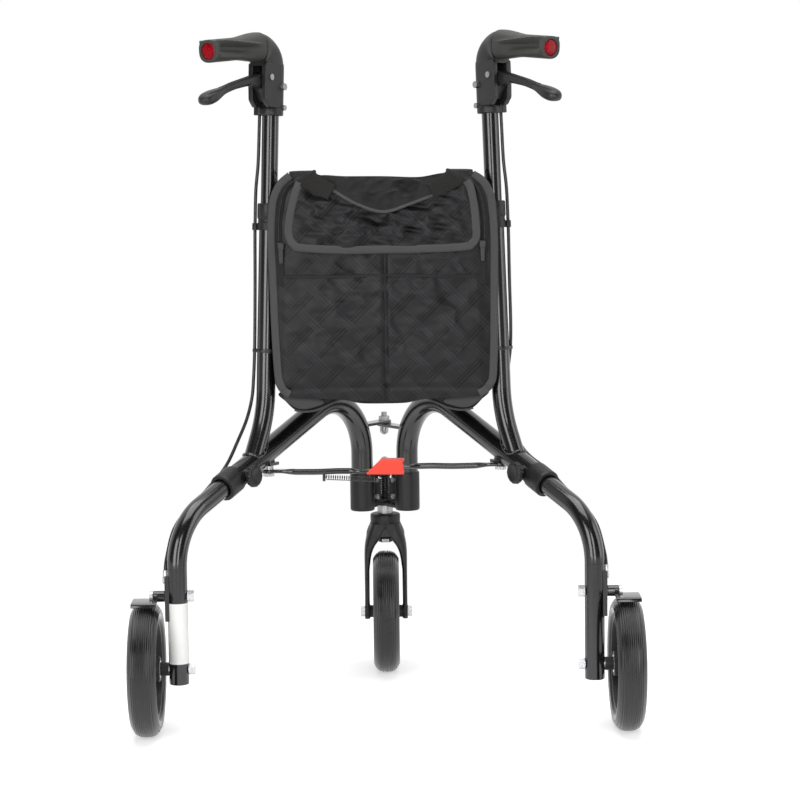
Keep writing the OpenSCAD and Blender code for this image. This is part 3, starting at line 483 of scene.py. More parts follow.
    def slab(self, axes: Axes, outline: Array, low: float, high: float, round_low: float,
             round_high: Optional[float] = None) -> "Stock":
        """Raises an outline along the axes' z, with rounded rims.

        Args:
            axes: where it stands.
            outline: anticlockwise points of the x and y.
            low: height of the lower face.
            high: height of the upper face.
            round_low: radius of the lower rim.
            round_high: radius of the upper rim, the same unless given.

        Returns:
            This stock.
        """
        top = round_low if round_high is None else round_high
        a = arc(RIM_RINGS, 0, 90)
        levels = [(low + round_low * (1 - math.sin(k)), round_low * (1 - math.cos(k))) for k in a[::-1]]
        levels += [(high - top * (1 - math.sin(k)), top * (1 - math.cos(k))) for k in a]
        rings = [np.column_stack([inset(outline, depth), np.full(len(outline), z)]) for z, depth in levels]
        return self.skin(axes.place(np.stack(rings)))

    def _harden(self, mesh: bpy.types.Mesh) -> None:
        """Keeps the edges of the end faces sharp, so that these faces shade flat.

        Args:
            mesh: the mesh made of these skins.
        """
        if not self.rims:
            return
        ends, hard = np.empty(2 * len(mesh.edges), np.int32), np.empty(len(mesh.edges), bool)
        mesh.edges.foreach_get("vertices", ends)
        mesh.edges.foreach_get("use_edge_sharp", hard)
        rims = np.sort(np.concatenate(self.rims), axis=1)
        ends = np.sort(ends.reshape(-1, 2).astype(np.int64), axis=1)
        found = np.isin(ends @ [self.count, 1], rims @ [self.count, 1])
        mesh.edges.foreach_set("use_edge_sharp", hard | found)

    def piece(self, name: str, body: Optional[str], finish: "Finish", replaces: Sequence[str] = (),
              angle: float = 38.0) -> bpy.types.Object:
        """Makes the mesh object, which rides on a body.

        Args:
            name: the piece's name.
            body: the body that carries it, or none for a piece that rides on no body.
            finish: its finish.
            replaces: CAD nodes that it stands for.
            angle: edges sharper than this many degrees stay sharp.

        Returns:
            The object.
        """
        mesh = bpy.data.meshes.new(name)
        mesh.from_pydata((np.concatenate(self.points) * MM).tolist(), [], self.faces)
        layer = mesh.uv_layers.new(name="UVMap")
        layer.data.foreach_set("uv", (np.concatenate(self.corners) * MM).astype(np.float32).ravel())
        mesh.polygons.foreach_set("use_smooth", np.ones(len(mesh.polygons), bool))
        mesh.set_sharp_from_angle(angle=math.radians(angle))
        self._harden(mesh)
        mesh.validate()
        obj = bpy.data.objects.new(name, mesh)
        bpy.context.scene.collection.objects.link(obj)
        obj.data.materials.append(finish.material())
        if body:
            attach(obj, body)
        if replaces:
            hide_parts(*replaces)
        LOG.info("piece %s on %s, %d faces", name, body, len(self.faces))
        return obj


def linear(code: str) -> tuple[float, ...]:
    """Turns an sRGB hex value, six digits after a hash, into linear red, green and blue with an alpha of 1.

    Args:
        code: the hex value.

    Returns:
        The four numbers.
    """
    parts = np.array([int(code[k:k + 2], 16) for k in (1, 3, 5)]) / 255
    low, high = parts / 12.92, ((parts + 0.055) / 1.055) ** 2.4
    return *np.where(parts <= 0.04045, low, high).tolist(), 1.0


def add_node(tree: Tree, kind: str, inputs: Optional[dict[Any, Any]] = None, **settings: Any) -> Node:
    """Adds a node with its settings, values and links.

    Args:
        tree: the node tree.
        kind: the node's type.
        inputs: sockets by name or number, each given a value or the socket that feeds it.
        settings: the node's own properties.

    Returns:
        The node.
    """
    node = tree.nodes.new(kind)
    for key, value in settings.items():
        setattr(node, key, value)
    for key, value in (inputs or {}).items():
        if isinstance(value, Socket):
            tree.links.new(value, node.inputs[key])
        else:
            node.inputs[key].default_value = value
    return node


def calc(tree: Tree, operation: str, *values: Any) -> Socket:
    """Adds a math node, which works on numbers or on the sockets that feed it, and gives its result's socket."""
    return add_node(tree, "ShaderNodeMath", dict(enumerate(values)), operation=operation).outputs[0]


@dataclass(frozen=True)
class Finish:
    """A finish with an even colour, a mottled gloss and a fine grain."""

    name: str
    slot: str
    colour: str
    rough: float
    grain_mm: float = 1.2
    grain_depth_mm: float = 0.03
    mottle_mm: float = 35.0
    mottle: float = 0.06
    shade: float = 0.12
    metallic: float = 0.0
    ior: float = 1.5
    coat: float = 0.0
    coat_rough: float = 0.05
    spec: float = 0.5
    span: tuple[float, float] = (0.3, 0.7)

    def material(self) -> bpy.types.Material:
        """The finish's material, made once.

        Returns:
            The material.
        """
        found = bpy.data.materials.get(self.name)
        if found:
            return found
        made = bpy.data.materials.new(self.name)
        made.use_nodes = True
        tree = made.node_tree
        shader = tree.nodes["Principled BSDF"]
        values = {"Metallic": self.metallic, "Coat Weight": self.coat, "Coat Roughness": self.coat_rough,
                  "Specular IOR Level": self.spec, "Base Color": linear(self.colour), "Roughness": self.rough}
        if not self.metallic:
            values["IOR"] = self.ior
        for key, value in values.items():
            shader.inputs[key].default_value = value
        self.pattern(tree, shader)
        return made

    def place(self, tree: Tree, kind: str = "Object") -> Socket:
        """Where the pattern is read: the object's own coordinates, or those of its skin."""
        return add_node(tree, "ShaderNodeTexCoord").outputs[kind]

    def noise(self, tree: Tree, where: Socket, size: float, **more: float) -> Socket:
        """Noise whose lumps have a size in millimetres."""
        return add_node(tree, "ShaderNodeTexNoise", {"Vector": where, "Scale": 1 / (size * MM), **more}).outputs["Fac"]

    def pattern(self, tree: Tree, shader: Node) -> None:
        """Mottles colour and gloss with broad noise, and adds the grain as a bump.

        Args:
            tree: the material's node tree.
            shader: its principled shader.
        """
        where = self.place(tree)
        broad = self.noise(tree, where, self.mottle_mm, Detail=4.0, Roughness=0.6)
        self.glaze(tree, shader, broad)
        self.tint(tree, shader, broad)
        self.emboss(tree, shader, self.noise(tree, where, self.grain_mm, Detail=2.0))

    def glaze(self, tree: Tree, shader: Node, level: Socket) -> None:
        """Varies the gloss by its mottle as a level runs over its span.

        Args:
            tree: the material's node tree.
            shader: its principled shader.
            level: what the gloss follows.
        """
        gloss = add_node(tree, "ShaderNodeMapRange", {
            "Value": level, "From Min": self.span[0], "From Max": self.span[1],
            "To Min": max(self.rough - self.mottle, 0.03), "To Max": min(self.rough + self.mottle, 1.0)})
        tree.links.new(gloss.outputs["Result"], shader.inputs["Roughness"])

    def tint(self, tree: Tree, shader: Node, level: Socket) -> None:
        """Varies the colour a little, by its shade share, with a level of 0 to 1.

        Args:
            tree: the material's node tree.
            shader: its principled shader.
            level: what the colour follows.
        """
        dark = [c * (1 - self.shade) for c in linear(self.colour)[:3]] + [1.0]
        pale = [min(c * (1 + self.shade), 1.0) for c in linear(self.colour)[:3]] + [1.0]
        mix = add_node(tree, "ShaderNodeMix", {0: level, 6: dark, 7: pale}, data_type="RGBA")
        tree.links.new(mix.outputs[2], shader.inputs["Base Color"])

    def emboss(self, tree: Tree, shader: Node, height: Socket, strength: float = 1.0) -> None:
        """Raises a height of 0 to 1 to the depth of the grain.

        Args:
            tree: the material's node tree.
            shader: its principled shader.
            height: what is raised.
            strength: share of the depth that shows.
        """
        bump = add_node(tree, "ShaderNodeBump", {"Height": height, "Strength": strength,
                                                 "Distance": self.grain_depth_mm * MM})
        tree.links.new(bump.outputs["Normal"], shader.inputs["Normal"])


@dataclass(frozen=True)
class Streaked(Finish):
    """A finish whose fine marks run around a turned piece, as on a moulded tyre."""

    span: tuple[float, float] = (0.35, 0.65)
    streak_mm: float = 1.6
    streak_long_mm: float = 90.0

    def pattern(self, tree: Tree, shader: Node) -> None:
        """Stretches noise along the second pattern coordinate, which runs around the piece.

        Args:
            tree: the material's node tree.
            shader: its principled shader.
        """
        scale = (1 / (self.streak_mm * MM), 1 / (self.streak_long_mm * MM), 1.0)
        where = add_node(tree, "ShaderNodeMapping", {"Vector": self.place(tree, "UV"), "Scale": scale})
        marks = self.noise(tree, where.outputs["Vector"], 1 / MM, Detail=3.0)
        self.glaze(tree, shader, marks)
        self.tint(tree, shader, marks)
        self.emboss(tree, shader, marks)


@dataclass(frozen=True)
class Wound(Finish):
    """A cable's sheath, with the wound wire's fine diagonal ribs showing through."""

    pitch_mm: float = 3.2
    bands: float = 0.159

    def pattern(self, tree: Tree, shader: Node) -> None:
        """Bands on the sum of the length along the cable and the way around it.

        Args:
            tree: the material's node tree.
            shader: its principled shader.
        """
        wave = add_node(tree, "ShaderNodeTexWave", {
            "Vector": self.place(tree, "UV"), "Scale": 1 / (self.pitch_mm * MM) * self.bands, "Distortion": 0.0},
            wave_type="BANDS", bands_direction="DIAGONAL").outputs["Fac"]
        self.tint(tree, shader, wave)
        self.emboss(tree, shader, wave)


@dataclass(frozen=True)
class Prismatic(Finish):
    """A reflector's lens, whose back is pressed into small prisms."""

    prism_mm: float = 2.4
    edge: float = 0.6

    def pattern(self, tree: Tree, shader: Node) -> None:
        """Shades cells the size of the prisms and breaks the gloss up with their edges.

        Args:
            tree: the material's node tree.
            shader: its principled shader.
        """
        cells = add_node(tree, "ShaderNodeTexVoronoi", {
            "Vector": self.place(tree), "Scale": 1 / (self.prism_mm * MM), "Randomness": 0.15})
        apart = add_node(tree, "ShaderNodeSeparateColor", {"Color": cells.outputs["Color"]})
        self.tint(tree, shader, apart.outputs["Red"])
        self.emboss(tree, shader, cells.outputs["Distance"], self.edge)


@dataclass(frozen=True)
class Woven(Finish):
    """Plain woven tape or cloth, its threads drawn coarser than life so that they show."""

    thread_mm: float = 1.5

    def threads(self, tree: Tree, uv: Socket) -> Socket:
        """Height of the weave: warp and weft waves, each on top in turn.

        Args:
            tree: the material's node tree.
            uv: the skin's pattern coordinates.

        Returns:
            The height, from 0 to 1.
        """
        apart = add_node(tree, "ShaderNodeSeparateXYZ", {"Vector": uv})
        turn = np.pi / (self.thread_mm * MM)
        warp, weft = (calc(tree, "SINE", calc(tree, "MULTIPLY", apart.outputs[axis], turn)) for axis in "XY")
        both = calc(tree, "MULTIPLY", warp, weft)
        return add_node(tree, "ShaderNodeMapRange", {"Value": both, "From Min": -1.0}).outputs["Result"]

    def figure(self, tree: Tree, uv: Socket) -> Socket:
        """Level of the colour: the weave itself."""
        return self.threads(tree, uv)

    def pattern(self, tree: Tree, shader: Node) -> None:
        """Colours the cloth by its figure and raises its threads.

        Args:
            tree: the material's node tree.
            shader: its principled shader.
        """
        uv = self.place(tree, "UV")
        self.tint(tree, shader, self.figure(tree, uv))
        self.emboss(tree, shader, self.threads(tree, uv))


@dataclass(frozen=True)
class Lattice(Woven):
    """Cloth with a tone-on-tone lattice of slanting double stripes woven into it."""

    diamond_mm: float = 44.0
    stripe_share: float = 0.34
    bands: float = 5.0
    ground: float = 0.4
    stripe_tone: float = 0.72
    second_tone: float = -0.75
    weave_tone: float = 0.3

    def figure(self, tree: Tree, uv: Socket) -> Socket:
        """Stripes on both diagonals; each pair of lines is cut where the other family passes over it.

        Args:
            tree: the material's node tree.
            uv: the skin's pattern coordinates.

        Returns:
            The level of the colour.
        """
        apart = add_node(tree, "ShaderNodeSeparateXYZ", {"Vector": uv})
        lines = []
        for sign in ("ADD", "SUBTRACT"):
            slant = calc(tree, sign, apart.outputs["X"], apart.outputs["Y"])
            turn = calc(tree, "MULTIPLY", slant, 1 / (self.diamond_mm * MM))
            part = calc(tree, "FRACT", turn)
            gap = calc(tree, "COMPARE", part, 0.5, self.stripe_share / 2)
            pair = calc(tree, "MULTIPLY", part, self.bands / self.stripe_share)
            cut = calc(tree, "GREATER_THAN", calc(tree, "PINGPONG", pair, 1.0), 0.5)
            lines.append((gap, calc(tree, "MULTIPLY", gap, cut), calc(tree, "FLOOR", turn)))
        (gap_a, line_a, cell_a), (gap_b, line_b, cell_b) = lines
        over = calc(tree, "FLOORED_MODULO", calc(tree, "ADD", cell_a, cell_b), 2.0)
        keep_a = calc(tree, "MAXIMUM", calc(tree, "SUBTRACT", 1.0, gap_b), over)
        keep_b = calc(tree, "SUBTRACT", 1.0, calc(tree, "MULTIPLY", gap_a, over))
        show_a, show_b = calc(tree, "MULTIPLY", line_a, keep_a), calc(tree, "MULTIPLY", line_b, keep_b)
        both = calc(tree, "ADD", show_a, calc(tree, "MULTIPLY", show_b, self.second_tone))
        tone = calc(tree, "MULTIPLY_ADD", both, self.stripe_tone, self.ground)
        return calc(tree, "ADD", tone, calc(tree, "MULTIPLY", self.threads(tree, uv), self.weave_tone))


# Gloss black enamel on steel tube: deep black with sharp light lines and a faint orange peel.
ENAMEL = Finish("gloss_black_enamel", "black_paint", "#0c0c0d", 0.22, 3.5, 0.0006, 60.0, 0.03, 0.1, coat=0.5,
                coat_rough=0.1)
# Black polypropylene, spark-textured in the mould: dark, soft-edged light.
MOULDED = Finish("textured_black_polypropylene", "black_plastic", "#1b1b1c", 0.44, 1.1, 0.03, 30.0, 0.07, spec=0.35)
# Charcoal glass-filled nylon of the brake housings: a little paler and more satin.
NYLON = Finish("charcoal_nylon", "grey_plastic", "#202020", 0.42, 1.1, 0.03, 30.0, 0.07, spec=0.4)
# Soft charcoal thermoplastic rubber: pale bloom, hardly any gloss.
SOFT_GRIP = Finish("charcoal_soft_grip_rubber", "grip_rubber", "#424240", 0.58, 1.3, 0.05, 25.0, 0.08, 0.12, spec=0.3)
# Solid polyurethane tyre with fine turned marks around it.
TYRE = Streaked("black_polyurethane_tyre", "tyre_rubber", "#131312", 0.26, grain_depth_mm=0.1, mottle=0.12, shade=0.4)
# Bright zinc-plated steel: pale, a little blotchy.
ZINC = Finish("bright_zinc_plated_steel", "zinc", "#cfd0d3", 0.28, 1.5, 0.015, 6.0, 0.1, 0.1, metallic=0.6)
# Dull grey steel of the handles' rivets and screws, the shaft's nuts and the upper bolt.
DULL = Finish("dull_grey_steel", "zinc", "#a6a7a9", 0.42, 1.4, 0.015, 6.0, 0.1, 0.12, metallic=1.0)
# Black oiled spring steel.
SPRING = Finish("black_oiled_spring_steel", "black_steel", "#1c1c1d", 0.32, 1.2, 0.01, 10.0, 0.08)
# Red acrylic lens with pressed prisms.
LENS = Prismatic("red_acrylic_lens", "red_reflector", "#9c0618", 0.24, grain_depth_mm=0.2, shade=0.35, spec=0.14)
# Orange-red ABS of the latch, plain satin.
LATCH_RED = Finish("orange_red_abs", "latch_red", "#f0402a", 0.42, 1.2, 0.012, 20.0, 0.05, 0.04)
# Black PVC sheath over wound wire.
SHEATH = Wound("black_pvc_cable_sheath", "cable_black", "#1c1c1e", 0.35, grain_depth_mm=0.15, shade=0.3)
# Black polyester cloth with a woven lattice, a little shiny.
CLOTH = Lattice("black_lattice_polyester", "bag_fabric", "#18181a", 0.42, grain_depth_mm=0.12, shade=0.95,
                spec=0.24)
# Grey ribbed binding tape.
BINDING = Woven("grey_binding_tape", "bag_fabric", "#4e4e4e", 0.8, grain_depth_mm=0.25, shade=0.16, thread_mm=1.8,
                spec=0.2)
# Black polyester webbing of the carry handle and the zips.
WEBBING = Woven("black_polyester_webbing", "bag_fabric", "#1e1d1c", 0.7, grain_depth_mm=0.2, shade=0.35, thread_mm=2.2,
                spec=0.25)
# Plain black nylon of the pocket's hem, the handle's wrap and the corner gussets.
LINING = Woven("black_nylon_side_cloth", "bag_fabric", "#1b1b1c", 0.6, grain_depth_mm=0.1, shade=0.25, thread_mm=1.6,
               spec=0.25)
# Blank white vinyl label.
VINYL = Finish("white_vinyl_label", "black_paint", "#f2f2f0", 0.4, 2.0, 0.01, 15.0, 0.05, 0.03)


@dataclass
class Sided:
    """A sub-assembly that the rollator has on its left and on its right."""

    side: Side
    plan: Layout = PLAN

    def named(self, stem: str) -> str:
        """Name of the side's node, piece or body."""
        return f"{stem}_{self.side.tag}"


@dataclass
class SideFrame(Sided):
    """One side frame: its bent tubes, hinge block, pivot plate, bush, collar, knob and label."""

    around: int = 48
    post_foot: float = 234.0
    main_end: float = 111.0
    block_r: float = 17.0
    block_low: float = 230.0
    block_high: float = 284.0
    ear_t: float = 5.0
    collar_from: float = 101.0
    collar_len: float = 30.0
    collar_r: float = 18.0
    clamp_at: float = 139.03
    knob_from: float = 20.0
    knob_t: float = 10.0
    knob_r: float = 14.5
    knob_ribs: int = 14
    bush_from: float = 208.0
    upright_turn: float = 24.0
    upright_tail: float = 36.0
    weld_points: int = 72
    weld_gap: float = 0.4
    weld_bead: tuple[float, float] = (1.9, 0.5)
    leg_wall: float = 2.0
    leg_rim: float = 0.6
    leg_tail: float = 70.0
    label_z: tuple[float, float] = (93.0, 170.0)

    @property
    def body(self) -> str:
        """The body that carries the frame."""
        return self.named("frame")

    @property
    def plane(self) -> Axes:
        """The frame's plane."""
        return self.plan.side(self.side)

    def line(self, xz: Array) -> Array:
        """Points of the frame's plane, given as x and z, in the row frame."""
        return self.plane.place(np.insert(xz, 1, 0.0, axis=1))

    def build_main_tube(self) -> None:
        """Circle carried up the post, round the arch and down the slope."""
        p = self.plan
        c, s = cos_sin(p.slope)
        low = np.array([p.leg_reach - self.main_end * c, p.knee_z + self.main_end * s])
        post = np.array([[p.post_reach, z] for z in np.linspace(self.post_foot, p.arch_z, 8)[:-1]])
        arch = [p.post_reach + p.arch_r, p.arch_z] + p.arch_r * ray(np.pi - np.linspace(0, p.arch_turn, 48))
        down = arch[-1] + np.linspace(0, 1, 14)[1:, None] * (low - arch[-1])
        line = self.line(np.concatenate([post, arch, down]))
        Stock().sweep(line, circle(self.around) * p.main_d / 2, self.plane.ey).piece(
            self.named("main_tube_skin"), self.body, ENAMEL, [self.named("main_tube")])

    def upright_foot(self, turn: float) -> tuple[Array, Array]:
        """Point and downward direction of the upright's bend, as x and z, at an angle of the bend.

        Args:
            turn: the angle, in radians.

        Returns:
            The point and the direction.
        """
        p = self.plan
        lean = math.radians(p.lean)
        centre = np.array([p.upright_reach + p.upright_r * math.cos(lean), p.bend_z + p.upright_r * math.sin(lean)])
        a = lean + turn
        return centre - p.upright_r * np.array([math.cos(a), math.sin(a)]), np.array([math.sin(a), -math.cos(a)])

    def build_upright(self) -> None:
        """Circle carried down the upright and round its bend, into the main tube, with a weld around its foot."""
        p = self.plan
        turn = math.radians(self.upright_turn)
        bend = np.array([self.upright_foot(a)[0] for a in np.linspace(0, turn, 20)])
        foot, down = self.upright_foot(turn)
        lean = math.radians(p.lean)
        top = bend[0] + p.upright_len * np.array([-math.sin(lean), math.cos(lean)])
        straight = top + np.linspace(0, 1, 12)[:-1, None] * (bend[0] - top)
        tail = foot + np.linspace(0, self.upright_tail, 8)[1:, None] * down
        line = self.line(np.concatenate([straight, bend, tail]))
        stock = Stock().sweep(line, circle(self.around) * p.upright_d / 2, self.plane.ey)
        stock.piece(self.named("upright_tube_skin"), self.body, ENAMEL, [self.named("upright_tube")])
        above = np.array(cos_sin(p.slope)[::-1])
        ring = circle(self.weld_points) * (p.upright_d / 2 + self.weld_gap)
        across = np.array([-down[1], down[0]])
        at = foot + ring[:, :1] * across
        lift = np.sqrt((p.main_d / 2 + self.weld_gap) ** 2 - ring[:, 1] ** 2)
        run = (lift - (at - np.array([p.leg_reach, p.knee_z])) @ above) / (down @ above)
        seam = at + run[:, None] * down
        loop = self.plane.place(np.column_stack([seam[:, 0], ring[:, 1], seam[:, 1]]))
        size = self.weld_bead[0] + self.weld_bead[1] * np.abs(np.sin(np.arange(self.weld_points) * np.pi / 4))
        bead = circle(10)[None] * size[:, None, None]
        Stock().sweep(loop, bead, self.plane.turn((down[0], 0, down[1])), loop=True).piece(
            self.named("upright_weld"), self.body, ENAMEL)

    def build_leg(self) -> None:
        """Straight open foot turned around the leg's axis, then a circle carried round the bend into the collar."""
        p = self.plan
        bend_z = p.knee_z - p.leg_tangent
        r, rim, high = p.leg_d / 2, self.leg_rim, bend_z - p.leg_foot_z
        bore = r - self.leg_wall
        profile = [(bore, 34.0), (bore, rim), (bore + rim, 0.0), (r - rim, 0.0), (r, rim), (r, 0.3 * high),
                   (r, 0.6 * high), (r, high)]
        foot = p.leg_axes(self.side, p.leg_foot_z)
        stock = Stock().revolve(foot, profile, self.around)
        c, s = cos_sin(p.slope)
        bend = [p.leg_reach - p.leg_r, bend_z] + p.leg_r * ray(np.linspace(0, p.leg_turn, 30))
        tail = bend[-1] + np.linspace(0, self.leg_tail, 8)[1:, None] * [-c, s]
        stock.sweep(self.line(np.concatenate([bend, tail])), circle(self.around) * r, self.plane.ey)
        stock.piece(self.named("leg_tube_skin"), self.body, ENAMEL, [self.named("leg_tube")])
        if self.side is Side.LEFT:
            edge = ray(arc(60, -60, 240))
            section = np.concatenate([edge * (r + 0.25), edge[::-1] * (r + 0.02)])
            sleeve = raised(section, np.linspace(*self.label_z, 6) - p.leg_foot_z)
            Stock().skin(foot.place(sleeve)).piece("blank_label_left", self.body, VINYL)

    def build_hinge_block(self, ears: tuple[float, float]) -> None:
        """Sleeve turned around the post, a web with a tongue, and two eyed ears around the shaft.

        Args:
            ears: heights of the two ears' undersides.
        """
        p, plane, r = self.plan, self.plane, self.block_r
        post = plane.inner((p.post_reach, 0, 0))
        low, high = self.block_low, self.block_high
        profile = [(r - 4, low), (r - 1.2, low), (r - 0.2, low + 1.2), (r, low + 4), (r, high - 8),
                   (r - 0.15, high - 2), (r - 0.9, high - 0.4), (r - 2.6, high), (p.main_d / 2 - 0.5, high)]
        stock = Stock().revolve(post, profile, self.around)
        web = fillet([(23, low + 0.6), (52, low + 0.6), (52, high - 1), (23, high - 1), (23, 271), (16, 269), (16, 244),
                      (23, 242)], [3, 1, 1, 3, 1, 1.5, 1.5, 1])
        stock.slab(plane.swapped(), web, -5, 5, 1.0)
        ear = np.concatenate([13 * ray(arc(40, 40, 320)), [[48.0, -8.4], [48.0, 8.4]]])
        for z in ears:
            stock.slab(plane, ear, z, z + self.ear_t, 0.8)
        stock.piece(self.named("hinge_block_moulding"), self.body, MOULDED, [self.named("hinge_block")])

    def build_pivot_plate(self, low: float) -> None:
        """Round-ended strap from the arch to the upper pivot.

        Args:
            low: height of its underside.
        """
        strap = np.concatenate([10 * ray(arc(24, 90, 270)), [[50.0, -8.0], [50.0, 8.0]]])
        Stock().slab(self.plane, strap, low, low + 4, 0.7).piece(
            self.named("pivot_strap"), self.body, ENAMEL, [self.named("pivot_plate")])

    def build_bush(self) -> None:
        """Stepped plastic bush turned around the upright, with the cable's clip on its foot."""
        axes = self.plan.upright_axes(self.side, self.bush_from)
        profile = [(12.6, 0), (14.4, 0), (14.9, 0.5), (14.9, 9), (14.3, 9.6), (13.9, 11), (13.9, 14.5), (14.5, 15.2),
                   (15, 16), (15, 33), (14.6, 34.4), (13.6, 35), (11.1, 35)]
        stock = Stock().revolve(axes, profile, self.around)
        c, s = cos_sin(56)
        clip = axes.inner((17.5 * c, -17.5 * s, 0), (c, -s, 0), (0, 0, 1))
        stock.revolve(clip, [(2.6, 0.4), (3.6, 0), (4, 0.5), (4, 8.4), (3.6, 9), (2.6, 8.6)], 24, loop=True)
        stock.slab(clip, fillet([(-5, -2.6), (-1, -3.2), (-1, 3.2), (-5, 2.6)], 0.6), 0.2, 8.8, 0.5)
        stock.piece(self.named("height_bush_moulding"), self.body, MOULDED, [self.named("height_bush")])

    def clamp_axes(self) -> Axes:
        """Axes of the clamp, z towards the inside."""
        return self.plan.slope_axes(self.side, self.clamp_at).swapped()

    def build_collar(self) -> None:
        """Sleeve turned around the slope with an open lower rim, a tongue and the boss of the clamp."""
        axes = self.plan.slope_axes(self.side, self.collar_from)
        r, n = self.collar_r, self.collar_len
        profile = [(12.9, 10), (12.9, 1.2), (13.7, 0), (r - 1.6, 0), (r - 0.5, 0.5), (r, 1.8), (r, 5), (r, n - 5),
                   (r - 0.2, n - 2), (r - 0.8, n - 0.5), (15.2, n)]
        stock = Stock().revolve(axes, profile, self.around)
        way = ray(arc(14, 62, 118))
        tongue = raised(np.concatenate([way * (r - 0.4), way[::-1] * 14.6]), n + np.linspace(-4, 16, 8))
        stock.skin(axes.place(tongue))
        stock.revolve(self.clamp_axes(), [(9, 12), (8.4, 16), (8, 17.4), (8, 19), (7.4, 19.6), (4.1, 19.6)], 40)
        stock.piece(self.named("leg_collar_moulding"), self.body, MOULDED, [self.named("leg_collar")])

    def build_knob(self) -> None:
        """Fluted hand knob: the radius dips between the ribs, and the face is dished."""
        low, high, r = self.knob_from, self.knob_from + self.knob_t, self.knob_r
        profile = [(3.9, low - 8), (3.9, low), (r - 5, low), (r - 2, low + 1), (r - 0.4, low + 2.6), (r, low + 4),
                   (r, high - 4), (r - 0.6, high - 2), (r - 2.4, high - 0.4), (r - 4, high), (r - 6.5, high - 1.6),
                   (2.0, high - 2.2)]
        depth = np.array([0, 0, 0, 0.6, 1, 1, 1, 0.9, 0.5, 0, 0, 0.0])
        around = self.knob_ribs * 8
        wave = np.abs(np.sin(np.linspace(0, np.pi * self.knob_ribs, around, endpoint=False))) ** 0.6
        ripple = 1 - 0.075 * depth[:, None] * (1 - wave[None])
        Stock().revolve(self.clamp_axes(), profile, around, ripple=ripple).piece(
            self.named("hand_knob"), self.named("knob"), MOULDED, [self.named("clamp_knob")])

    def build(self, ears: tuple[float, float], plate_low: float) -> None:
        """Builds every piece of the side frame.

        Args:
            ears: heights of the hinge block's ears.
            plate_low: height of the pivot plate's underside.
        """
        self.build_main_tube()
        self.build_upright()
        self.build_leg()
        self.build_hinge_block(ears)
        self.build_pivot_plate(plate_low)
        self.build_bush()
        self.build_collar()
        self.build_knob()


@dataclass
class Wheel:
    """A wheel: ribbed tyre and five-spoked rim, drawn around the axle along z."""

    axes: Axes
    tag: str
    body: str
    nodes: tuple[str, str]
    radius: float = 85.0
    half_w: float = 18.0
    rim_r: float = 63.0
    crown_drop: float = 11.0
    crown_power: float = 3.4
    rib_mm: float = 2.6
    rib_deep: float = 0.32
    spokes: int = 5
    sleeves: tuple[tuple[float, float], ...] = ()

    def build_tyre(self) -> None:
        """Crowned section with fine ribs around its tread, closed at the rim."""
        x = np.linspace(-1, 1, 141)
        crown = self.crown_drop * np.abs(x) ** self.crown_power
        rib = self.rib_deep * np.cos(2 * np.pi * x * self.half_w / self.rib_mm) * (1 - ease(np.abs(x), 0.74, 0.82))
        tread = np.column_stack([self.radius - self.rib_deep - crown + rib, x * self.half_w])
        side = np.array([(72.5, 18.0), (70.5, 17.8), (67, 16.9), (65.2, 16.6), (64.4, 15.6), (63.0, 14.6)])
        wall = np.concatenate([side, (side * [1, -1])[::-1]])
        Stock().revolve(self.axes, np.concatenate([tread, wall]), 144, loop=True).piece(
            "ribbed_tyre" + self.tag, self.body, TYRE, [self.nodes[0]], angle=60)

    def build_rim(self) -> None:
        """Flanged ring, hub and lofted spokes that widen into both."""
        r = self.rim_r
        ring = [(r - 7, -11), (r - 6, -14), (r - 1.2, -14.5), (r, -14), (r, 14), (r - 1.2, 14.5), (r - 6, 14),
                (r - 7, 11), (r - 7.4, 5), (r - 7.4, -5)]
        stock = Stock().revolve(self.axes, ring, 96, loop=True)
        hub = [(11.2, -16.5), (14.6, -17), (15.8, -16), (16, -12), (16.6, -7), (16.6, 7), (16, 12), (15.8, 16),
               (14.6, 17), (11.2, 16.5), (11.2, 10), (7.6, 9.5), (7.6, -9.5), (11.2, -10)]
        stock.revolve(self.axes, hub, 64, loop=True)
        along = np.linspace(14, r - 4, 16)
        flare = 4.0 * (ease(along, 24, 13) + ease(along, 48, 60))
        for k in range(self.spokes):
            a = 2 * np.pi * k / self.spokes
            way = self.axes.inner((0, 0, 0), (math.cos(a), math.sin(a), 0), (0, 0, 1))
            stock.loft(way, along, 6.2 + flare, 5.6 + flare / 3, 3.2, count=28)
        for low, high in self.sleeves:
            stock.revolve(self.axes, [(5, low), (8.5, low), (8.5, high), (5, high)], 36, loop=True)
        stock.piece("spoked_rim" + self.tag, self.body, MOULDED, [self.nodes[1]])

    def build(self) -> None:
        """Builds the tyre and the rim."""
        self.build_tyre()
        self.build_rim()


